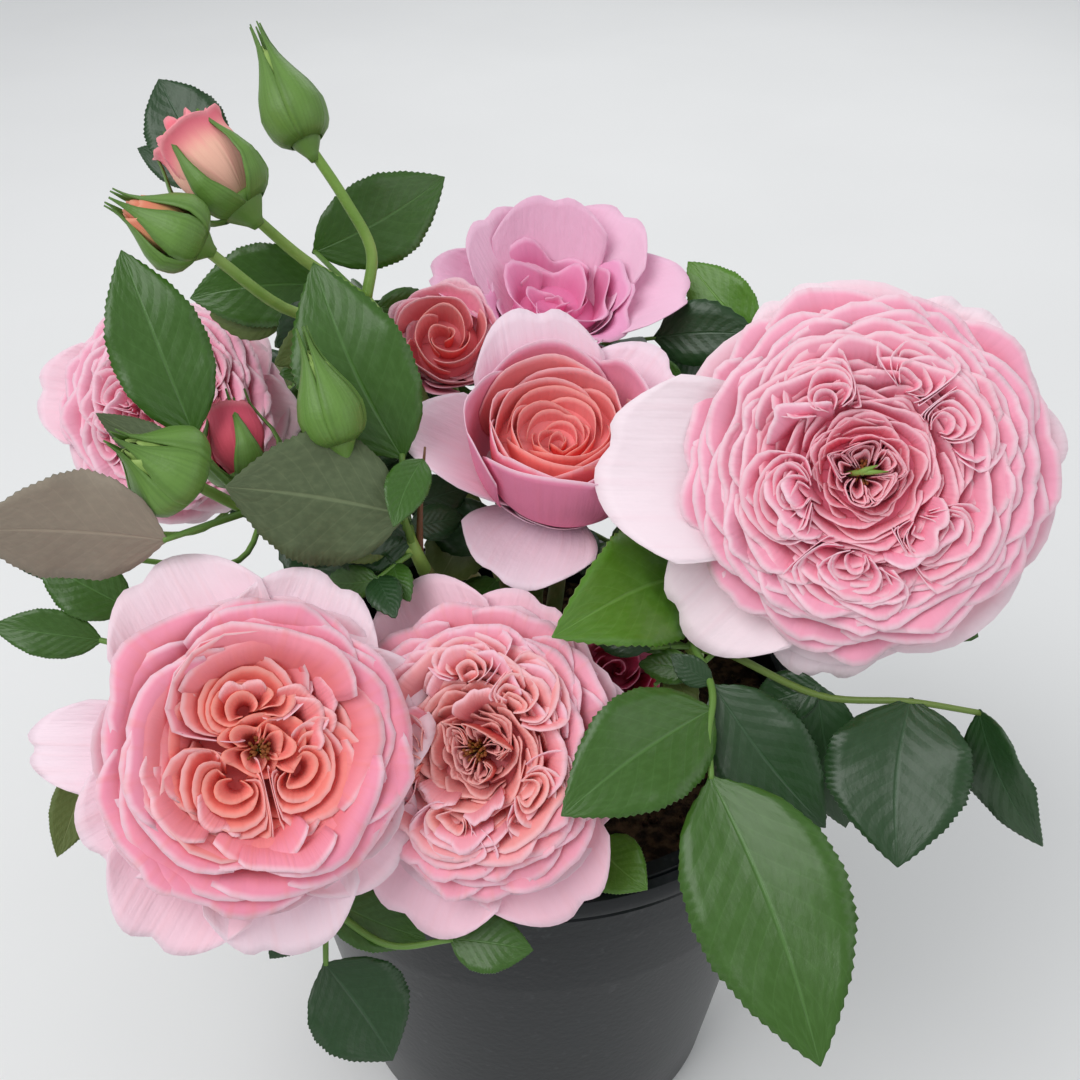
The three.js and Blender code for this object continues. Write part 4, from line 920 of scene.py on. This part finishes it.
class Look:
    """A principled material and the nodes that feed it."""

    def __init__(self, name, roughness, specular):
        self.material = bpy.data.materials.new("look_" + name)
        self.material.use_nodes = True
        self.tree = self.material.node_tree
        self.tree.nodes.clear()
        out = self.tree.nodes.new("ShaderNodeOutputMaterial")
        self.shader = self.tree.nodes.new("ShaderNodeBsdfPrincipled")
        self.tree.links.new(self.shader.outputs[0], out.inputs[0])
        self.shader.inputs["Roughness"].default_value = roughness
        self.shader.inputs["Specular IOR Level"].default_value = specular

    def feed(self, value, socket):
        if isinstance(value, Value):
            self.tree.links.new(value.socket, socket)
        else:
            socket.default_value = value

    def node(self, kind, inputs, output=0, **settings):
        """The output of a new node with these inputs and settings."""
        node = self.tree.nodes.new("ShaderNode" + kind)
        for name, value in settings.items():
            setattr(node, name, value)
        for key, value in inputs.items() if isinstance(inputs, dict) else enumerate(inputs):
            self.feed(value, node.inputs[key])
        return Value(self, node.outputs[output])

    def math(self, operation, a, b=0.0):
        return self.node("Math", (a, b), operation=operation)

    def blend(self, factor, a, b):
        return self.node("Mix", {0: factor, 6: a, 7: b}, 2, data_type="RGBA")

    def ramp(self, *limits):
        """A value's smooth step between two limits, from 0 to 1 or between two more figures."""
        return self.node("MapRange", limits, interpolation_type="SMOOTHSTEP")

    def parts(self, label):
        vector = self.node("Attribute", (), "Vector", attribute_name=label)
        return [self.node("SeparateXYZ", (vector,), k) for k in range(3)]

    def noise(self, scale, detail=3.0, *place):
        """Noise over the object, or over a place given by its three figures."""
        vector = self.node("CombineXYZ", place) if place else self.node("TexCoord", (), "Object")
        return self.node("TexNoise", {"Vector": vector, "Scale": scale, "Detail": detail})

    def mottled(self, scale, detail, low, high, first, second):
        """Two colours that a noise mixes."""
        return self.blend(self.ramp(self.noise(scale, detail), low, high), srgb(first), srgb(second))

    def bump(self, height, strength, distance):
        inputs = {"Strength": strength, "Distance": distance, "Height": height}
        self.feed(self.node("Bump", inputs), self.shader.inputs["Normal"])

    def color(self, value):
        self.feed(value, self.shader.inputs["Base Color"])
        return self.material


def petal_material(name, colors):
    eye, inner, middle, edge, deep_shade, tip = map(srgb, colors.split())
    look = Look(name, 0.55, 0.25)
    u, v, place = look.parts("mark")
    chance, far, back = look.parts("other")
    outer = look.ramp(place, 0.62, 0.8)
    place = place + (chance - 0.5) * 0.1
    color = look.blend(look.ramp(place, 0.03, 0.26), eye, inner)
    color = look.blend(look.ramp(place, 0.3, 0.56), color, middle)
    color = look.blend(look.ramp(place, 0.8, 1.0), color, edge)
    # Painted shade: far from their edges, petals lie low in the gaps between others and take the gap colour
    # there, kept bright and saturated as painted glow through the petals; buds pass their petals' base colour
    # here instead
    color = look.blend(look.ramp(far, 2.0, 12.0) * ((1.0 - outer) * 0.85), color, deep_shade)
    # Pale rim along each edge: partly the petals' own paler edges, partly painted light where the edges catch
    # it as they curl over
    rim = (1.0 - look.ramp(far, 0.1, 2.4)) * 0.65
    color = look.blend(rim, color, look.blend(look.ramp(place, 0.2, 0.5), tip, edge))
    streak = look.noise(1.0, 2.0, u * 9.0, v * 1.3, chance * 40.0)
    color = look.blend(look.ramp(streak, 0.45, 0.8) * (0.3 - outer * 0.22), color, inner)
    color = look.blend(back * 0.2, color, edge)
    crease = look.noise(1.0, 3.0, u * 5.0, v * 6.0, chance * 30.0)
    look.bump(streak + crease * outer, 0.5, 0.0009)
    return look.color(color)


def leaf_material(tone):
    top, under, vein = map(srgb, LEAF_COLORS[tone][1].split())
    look = Look("leaf_" + tone, 0.36 if tone in "dmb" else 0.6, 0.5)
    w, s, _ = look.parts("mark")
    _, _, back = look.parts("other")
    near = abs(look.math("FRACT", s * 9.0 - abs(w) * 2.6) - 0.5)
    midrib = 1.0 - look.ramp(abs(w), 0.01, 0.045)
    veins = look.math("MAXIMUM", midrib, (1.0 - look.ramp(near, 0.0, 0.07)) * 0.28)
    cells = look.noise(1.0, 4.0, w * 9.0, s * 16.0, 0.0)
    color = look.blend(look.ramp(cells, 0.35, 0.75, 0.0, 0.25), look.blend(back, top, under), vein)
    look.bump(near * 0.5 + cells * 0.4 - midrib * 0.5, 0.35, 0.001)
    return look.color(look.blend(veins * 0.6, color, vein))


def stem_material():
    look = Look("stems", 0.45, 0.4)
    across, along, kind = look.parts("mark")
    color = look.mottled(60.0, 3.0, 0.35, 0.7, "759a40", "8fae56")
    color = look.blend(look.ramp(kind, 0.1, HIP), color, srgb("61863a"))
    color = look.blend(look.ramp(kind, 0.35, SEPAL), color, srgb("668c3e"))
    sepals = look.ramp(kind, 0.47, 0.49) * look.ramp(kind, 0.53, 0.51)
    ribs = look.noise(1.0, 2.0, across * 5.0, along * 0.8, 3.0)
    shade = look.ramp(ribs, 0.35, 0.7, 0.0, 0.5) + look.ramp(along, 0.55, 1.0, 0.0, 0.35)
    color = look.blend(sepals * shade, color, srgb("4a6c26"))
    look.bump(look.noise(900.0) + sepals * ribs, 0.3, 0.0005)
    return look.color(look.blend(look.ramp(kind, 0.7, 0.95), color, srgb("6e4a30")))


def stamen_material():
    look = Look("stamens", 0.7, 0.2)
    color = look.mottled(300.0, 3.0, 0.35, 0.7, "c99a4e", "b9b85a")
    return look.color(look.blend(look.ramp(look.parts("mark")[2], 0.5, 0.8), color, srgb("8a4f2a")))


def pot_material():
    look = Look("pot", 0.32, 0.3)
    dust = look.ramp(look.noise(18.0, 6.0), 0.5, 0.75) * 0.25
    scuff = look.ramp(look.noise(240.0), 0.62, 0.72) * 0.2
    look.bump(look.noise(420.0, 4.0), 0.25, 0.0004)
    return look.color(look.blend(scuff, look.blend(dust, srgb("0a1014"), srgb("151c21")), srgb("4a4c4e")))


def plain_material(name, roughness, specular, mottles, bump=None):
    """A material of two mottled colours, with a bump given as scale, detail, strength and depth."""
    look = Look(name, roughness, specular)
    if bump:
        look.bump(look.noise(*bump[:2]), *bump[2:])
    return look.color(look.mottled(*mottles))


# Pot, soil, trunk and canes
def revolved(outline, sides, closed=True):
    """Places and quads of an outline turned about the axis."""
    outline = np.array(outline, float)[:, None]
    turns = np.arange(sides) * TAU / sides
    return polar(outline[..., 0], turns, outline[..., 1] + 0 * turns).reshape(-1, 3), hoop_quads(
        len(outline), sides, closed)


def pot_side(z):
    """Radius of the pot's wall under the step."""
    return mix(FOOT_RADIUS, STEP_RADIUS - 2.2, z / STEP_HEIGHT)


def build_pot():
    rim = ((1.7, BAND_HEIGHT), (1.1, 161.4), (2.2, 162.6), (0.3, 163.8), (0, 166.5), (1, 169.6),
           (3.4, RIM_HEIGHT), (4.2, RIM_HEIGHT - 1.2), (5, RIM_HEIGHT))
    outline = [
        (0.05, 0), (FOOT_RADIUS - 1.5, 0), (FOOT_RADIUS - 0.4, 0.4), (FOOT_RADIUS, 1.5),
        *((pot_side(z), z) for z in (40, 80, STEP_HEIGHT - 2)), (STEP_RADIUS - 0.3, STEP_HEIGHT - 0.6),
        (STEP_RADIUS, STEP_HEIGHT + 1.4), (STEP_RADIUS + 2, BAND_HEIGHT - 2.5),
        *((RIM_RADIUS - inset, z) for inset, z in rim), (LIP_RADIUS + 0.8, RIM_HEIGHT + 0.4),
        (LIP_RADIUS, RIM_HEIGHT - 1), (LIP_RADIUS + 2.9, BAND_HEIGHT + 4),
        (LIP_RADIUS + 2.7, BAND_HEIGHT - 2), (STEP_RADIUS - WALL, STEP_HEIGHT + 1.4),
        (pot_side(STEP_HEIGHT - 2) - WALL, STEP_HEIGHT - 3),
        (FOOT_RADIUS - WALL, FLOOR), (0.05, FLOOR)]
    body = Surface()
    body.add(*revolved(outline, POT_SIDES))
    item = body.piece("pot_shell", pot_material(), "pot", ["pot"])
    corners, faces = [], []
    for k in range(SLOTS):
        turn = radians(SLOT_TURN + 360 / SLOTS * k)
        across = heading(turn + QUARTER) * SLOT_WIDTH / 2
        corners += [heading(turn) * (FOOT_RADIUS + out) + across * s + (0, 0, z)
                    for out, z in ((-9, -4), (12, -4), (16, SLOT_HEIGHT), (-1, SLOT_HEIGHT)) for s in (-1, 1)]
        box = (2, 3, 1, 0), (4, 5, 3, 2), (6, 7, 5, 4), (0, 1, 7, 6), (6, 4, 2, 0), (3, 5, 7, 1)
        faces += [[8 * k + i for i in face] for face in box]
    mesh = bpy.data.meshes.new("slots")
    mesh.from_pydata(np.array(corners) * MM, [], faces)
    cutter = linked("slots", mesh)
    cut = item.modifiers.new("cut", "BOOLEAN")
    cut.operation = "DIFFERENCE"
    cut.object = cutter
    cut.solver = "EXACT"
    bpy.context.view_layer.update()
    result = bpy.data.meshes.new_from_object(item.evaluated_get(bpy.context.evaluated_depsgraph_get()))
    item.modifiers.clear()
    item.data = result
    bpy.data.objects.remove(cutter)
    result.set_sharp_from_angle(angle=0.6)


def build_soil():
    def wall(z):
        return pot_side(z) - WALL - GAP - 0.2
    outline = [[0.05, FLOOR + GAP], [wall(0), FLOOR + GAP], [wall(STEP_HEIGHT - 2), STEP_HEIGHT - 3],
               [STEP_RADIUS - WALL - GAP - 0.2, STEP_HEIGHT + 1.4], [LIP_RADIUS + 2.2, BAND_HEIGHT - 2],
               [SOIL_RADIUS - 0.2, SOIL_TOP]]
    outline += [[r, SOIL_TOP] for r in np.linspace(SOIL_RADIUS - 2.5, 0.5, SOIL_ROWS)]
    points, quads = revolved(outline, SOIL_SIDES, closed=False)
    top = points[:, 2] >= SOIL_TOP - 0.01
    waves = (0.9, 0.09, 0.4), (0.6, 0.23, 1.9), (0.5, 0.51, 3.1), (0.35, 0.97, 4.4), (0.25, 1.7, 0.8)
    x, y, _ = points.T
    lumps = sum(a * np.sin(x * f + p) * np.cos(y * f * 1.07 + p * 1.7) for a, f, p in waves)
    radius = np.hypot(x, y)
    calm = smooth(SOIL_RADIUS, SOIL_RADIUS - 12, radius) * smooth(12, 26, radius)
    points[:, 2] += np.where(top, (lumps - 0.9) * calm - 0.5 * smooth(14, 20, radius), 0)
    surface = Surface()
    surface.add(points, quads)
    draw = numbers(31)
    for _ in range(CRUMBS):
        middle = heading(TAU * draw()) * mix(20, 86, sqrt(draw())) + (0, 0, SOIL_TOP - 0.7)
        size = mix(0.7, 2.3, draw() ** 2)
        path = [middle + np.array(step) * size for step in ((0, 0, -0.5), (0.2, 0, 0.2), (0, 0.1, 0.7))]
        tube(surface, path, [size * 0.8, size * draw(0.8, 1.1), size * 0.5], 6)
    look = plain_material("soil", 0.95, 0.15,
                          (260.0, 6.0, 0.35, 0.7, "241a13", "5b4632"), (500.0, 6.0, 0.8, 0.002))
    surface.piece("soil_top", look, "soil", ["soil"])


def build_wood():
    """Trunk and canes; gives the places where the solids' canes end."""
    surface = Surface()
    path = curve(TRUNK_PATH, TRUNK_STEPS)
    radii = [np.interp(p[2], [q[2] for q in TRUNK_PATH], TRUNK_RADII) for p in path]

    def relief(k, turns):
        return (0.05 * np.sin(5 * turns + 0.11 * k) + 0.035 * np.sin(11 * turns - 0.17 * k)
                + 0.03 * np.sin(23 * turns + 0.9 * sin(0.5 * k)) + 0.02 * np.sin(0.9 * k + 3 * turns))
    tube(surface, path, radii, 56, rough=relief)
    look = plain_material("bark", 0.85, 0.2,
                          (220.0, 6.0, 0.35, 0.7, "3f3223", "7c6a4e"), (220.0, 6.0, 0.8, 0.0015))
    surface.piece("trunk_bark", look, "bark", ["trunk"])
    canes = Surface()
    tips = {}
    draw = numbers(91)
    for name, turn, root, thick, thin, bend, tip in CANES:
        out = heading(radians(turn))
        spots = [out * 3 + (0, 2, root), out * (bend + 6) + (0, 2, mix(root, tip[2], 0.42)), tip]
        tips[name] = curve(spots, CANE_RINGS)[-1]
        path = curve(spots, CANE_STEPS)
        radii = [mix(thick, thin, k / (CANE_STEPS - 1)) * (1 + 0.1 * (k % 9 == 0)) for k in range(CANE_STEPS)]
        tube(canes, path, radii, 16)
        for _ in range(THORNS):
            k = THORN_ZONE[0] + int(THORN_ZONE[1] * draw())
            along = unit(path[k + 1] - path[k - 1])
            side = unit(np.cross(along, [draw() - 0.5, draw() - 0.5, draw() - 0.5]))
            base = path[k] + side * radii[k] * 0.7
            thorn = [base, base + side * 2.2 - along * 0.3, base + side * 4.2 - along * 1.4]
            tube(canes, thorn, [1.3, 0.7, 0.1], 7)
    look = plain_material("canes", 0.6, 0.3,
                          (120.0, 3.0, 0.4, 0.65, "5d6b35", "7a7444"), (700.0, 3.0, 0.5, 0.0008))
    canes.piece("canes_green", look, "cane", ["cane_" + row[0] for row in CANES])
    return tips


# Shoots
def shoot_stem(shoot, tips, count):
    spots = [tips[shoot.name], *shoot.stem]
    for bloom in BLOOMS:
        if bloom.name == shoot.name:
            up, _, _, seat = facing(bloom)
            spots += [seat - up * (bloom.hip * 1.5 + below) for below in (6, 0.54)]
    return curve(spots, count)


def tree_of(points, quads):
    """A search tree over faces, with the box round it."""
    faces = np.concatenate([quads[:, [0, 1, 2]], quads[:, [0, 2, 3]]])
    return BVHTree.FromPolygons(points.tolist(), faces.tolist()), points.min(0), points.max(0)


def sheet_tree(grid):
    return tree_of(grid.reshape(-1, 3), grid_quads(grid.shape[1] - 1, grid.shape[0] - 1))


def meets(grid, tree):
    """Whether a sheet cuts through the faces of a tree."""
    if np.any(grid.min((0, 1)) > tree[2]) or np.any(grid.max((0, 1)) < tree[1]):
        return False
    return bool(sheet_tree(grid)[0].overlap(tree[0]))


def shown_leaves():
    """The leaflets that are placed one by one, as (tone, grid, marks)."""
    for shoot in SHOOTS:
        draw = numbers(hash_of("shoot_" + shoot.name))
        for *spots, width, roll, tone in shoot.blades:
            yield tone, *leaf_grid(spots[:3], spots[3:], width, roll, *SHOWN_GRID, draw)


def build_shoots(tips, greens, leaves, bloom_trees):
    buds = {}
    low, high = np.array(cad_box[0]) / MM - CROWN_MARGIN, np.array(cad_box[1]) / MM + CROWN_MARGIN
    for shoot in SHOOTS:
        stem = shoot_stem(shoot, tips, STEM_RINGS)
        radii = [mix(*shoot.radii, k / (STEM_STEPS - 1)) for k in range(STEM_STEPS)]
        tube(greens, shoot_stem(shoot, tips, STEM_STEPS), radii, 12)
        for stalk in shoot.stalks:
            kind, radii = STALK, STALK_RADII
            if any(dist(stalk[-1], bud[:3]) < BUD_NEAR for bud in shoot.buds):
                kind, radii = STEM, BUD_STALK_RADII
            elif stalk[-1] == DRY_TWIG:
                kind, radii = DRY, TWIG_RADII
            elif stalk[-1] == RED_STALK:
                kind = RED
            count = 5 * len(stalk)
            tube(greens, curve(stalk, count), np.linspace(*radii, count), 10, kind)
        for bud in shoot.buds:
            build_bud(bud, greens, buds)
        draw = numbers(hash_of("shoot_" + shoot.name) + 1)
        count, seed, size = shoot.wild
        path = [mix(stem[0], stem[1], 0.3), *stem[1:]]
        for more, scale, hollows in SPRAYS:
            for rib, blades in wild_leaves(path, count, seed + more, size * scale, hollows):
                grids = [leaf_grid(foot, tip, width, 0, *WILD_GRID, draw) for foot, tip, width in blades]
                kept = [g for g, (foot, tip, _) in zip(grids, blades)
                        if not hides((foot + tip) / 2, np.linalg.norm(tip - foot) / 2)
                        and np.all(g[0] > low) and np.all(g[0] < high)
                        and not any(meets(g[0], tree) for tree in bloom_trees)]
                if kept:
                    tube(greens, curve(rib, 10), np.linspace(1.0, 0.7, 10), 6, STALK)
                    for grid, marks in kept:
                        shell(leaves[WILD_TONES[int(len(WILD_TONES) * draw())]], grid, LEAF_SHEET, marks)
    names = ["shoot_" + shoot.name for shoot in SHOOTS]
    for tone, surface in leaves.items():
        surface.piece("leaves_" + LEAF_COLORS[tone][0], leaf_material(tone), "leaf", names, chart=True)
    greens.piece("stems_green", stem_material(), "leaf", names)
    for k, (colors, surface) in enumerate(buds.items()):
        body, edge, base = colors.split()
        look = petal_material(f"bud_{k}", " ".join((body, body, body, edge, base, edge)))
        surface.piece(f"bud_{k}", look, "petal", ["shoot_buds", "shoot_middle_left"])


# Floor, light and camera
def build_stage():
    mesh = bpy.data.meshes.new("floor")
    corners = [(x * FLOOR_REACH, y * FLOOR_REACH, 0) for x, y in ((-1, -1), (1, -1), (1, 1), (-1, 1))]
    mesh.from_pydata(corners, [], [(0, 1, 2, 3)])
    mesh.materials.append(plain_material("floor", 0.9, 0.1, (3.0, 3.0, 0.3, 0.7, "eeeeed", "f1f1f0")))
    floor = linked("floor", mesh)
    world = bpy.data.worlds.new("studio")
    world.use_nodes = True
    for socket, value in zip(world.node_tree.nodes["Background"].inputs, SKY):
        socket.default_value = value
    scene = bpy.context.scene
    scene.world = world
    scene.view_settings.view_transform = "Standard"
    for name, spot, size, power in LIGHTS:
        data = bpy.data.lights.new(name, "AREA")
        data.size = size
        data.energy = power
        light = linked(name, data)
        light.location = spot
        light.rotation_euler = (LIGHT_AIM - Vector(spot)).to_track_quat("-Z", "Y").to_euler()
    data = bpy.data.cameras.new("camera")
    data.lens = LENS_PIXELS / PHOTO_PIXELS * SENSOR
    data.sensor_width = SENSOR
    camera = linked("camera", data)
    camera.location = SHOW_POINT * MM
    camera.rotation_euler = (radians(90 - CAMERA_PITCH), 0, 0)
    scene.camera = camera


greens, stamens = Surface(), Surface()
leaves = {tone: Surface() for tone in LEAF_COLORS}
leaf_trees, bloom_trees, eyes = [], [], []
for tone, grid, marks in shown_leaves():
    shell(leaves[tone], grid, LEAF_SHEET, marks)
    leaf_trees.append(sheet_tree(grid))
for bloom in BLOOMS:
    bloom_trees.append(tree_of(*build_bloom(bloom, greens, leaf_trees)))
    if bloom.kind == "rosette":
        build_stamens(bloom, stamens)
        eyes.append("bloom_" + bloom.name)
stamens.piece("stamens", stamen_material(), "petal", eyes)
build_pot()
build_soil()
build_shoots(build_wood(), greens, leaves, bloom_trees)
build_stage()
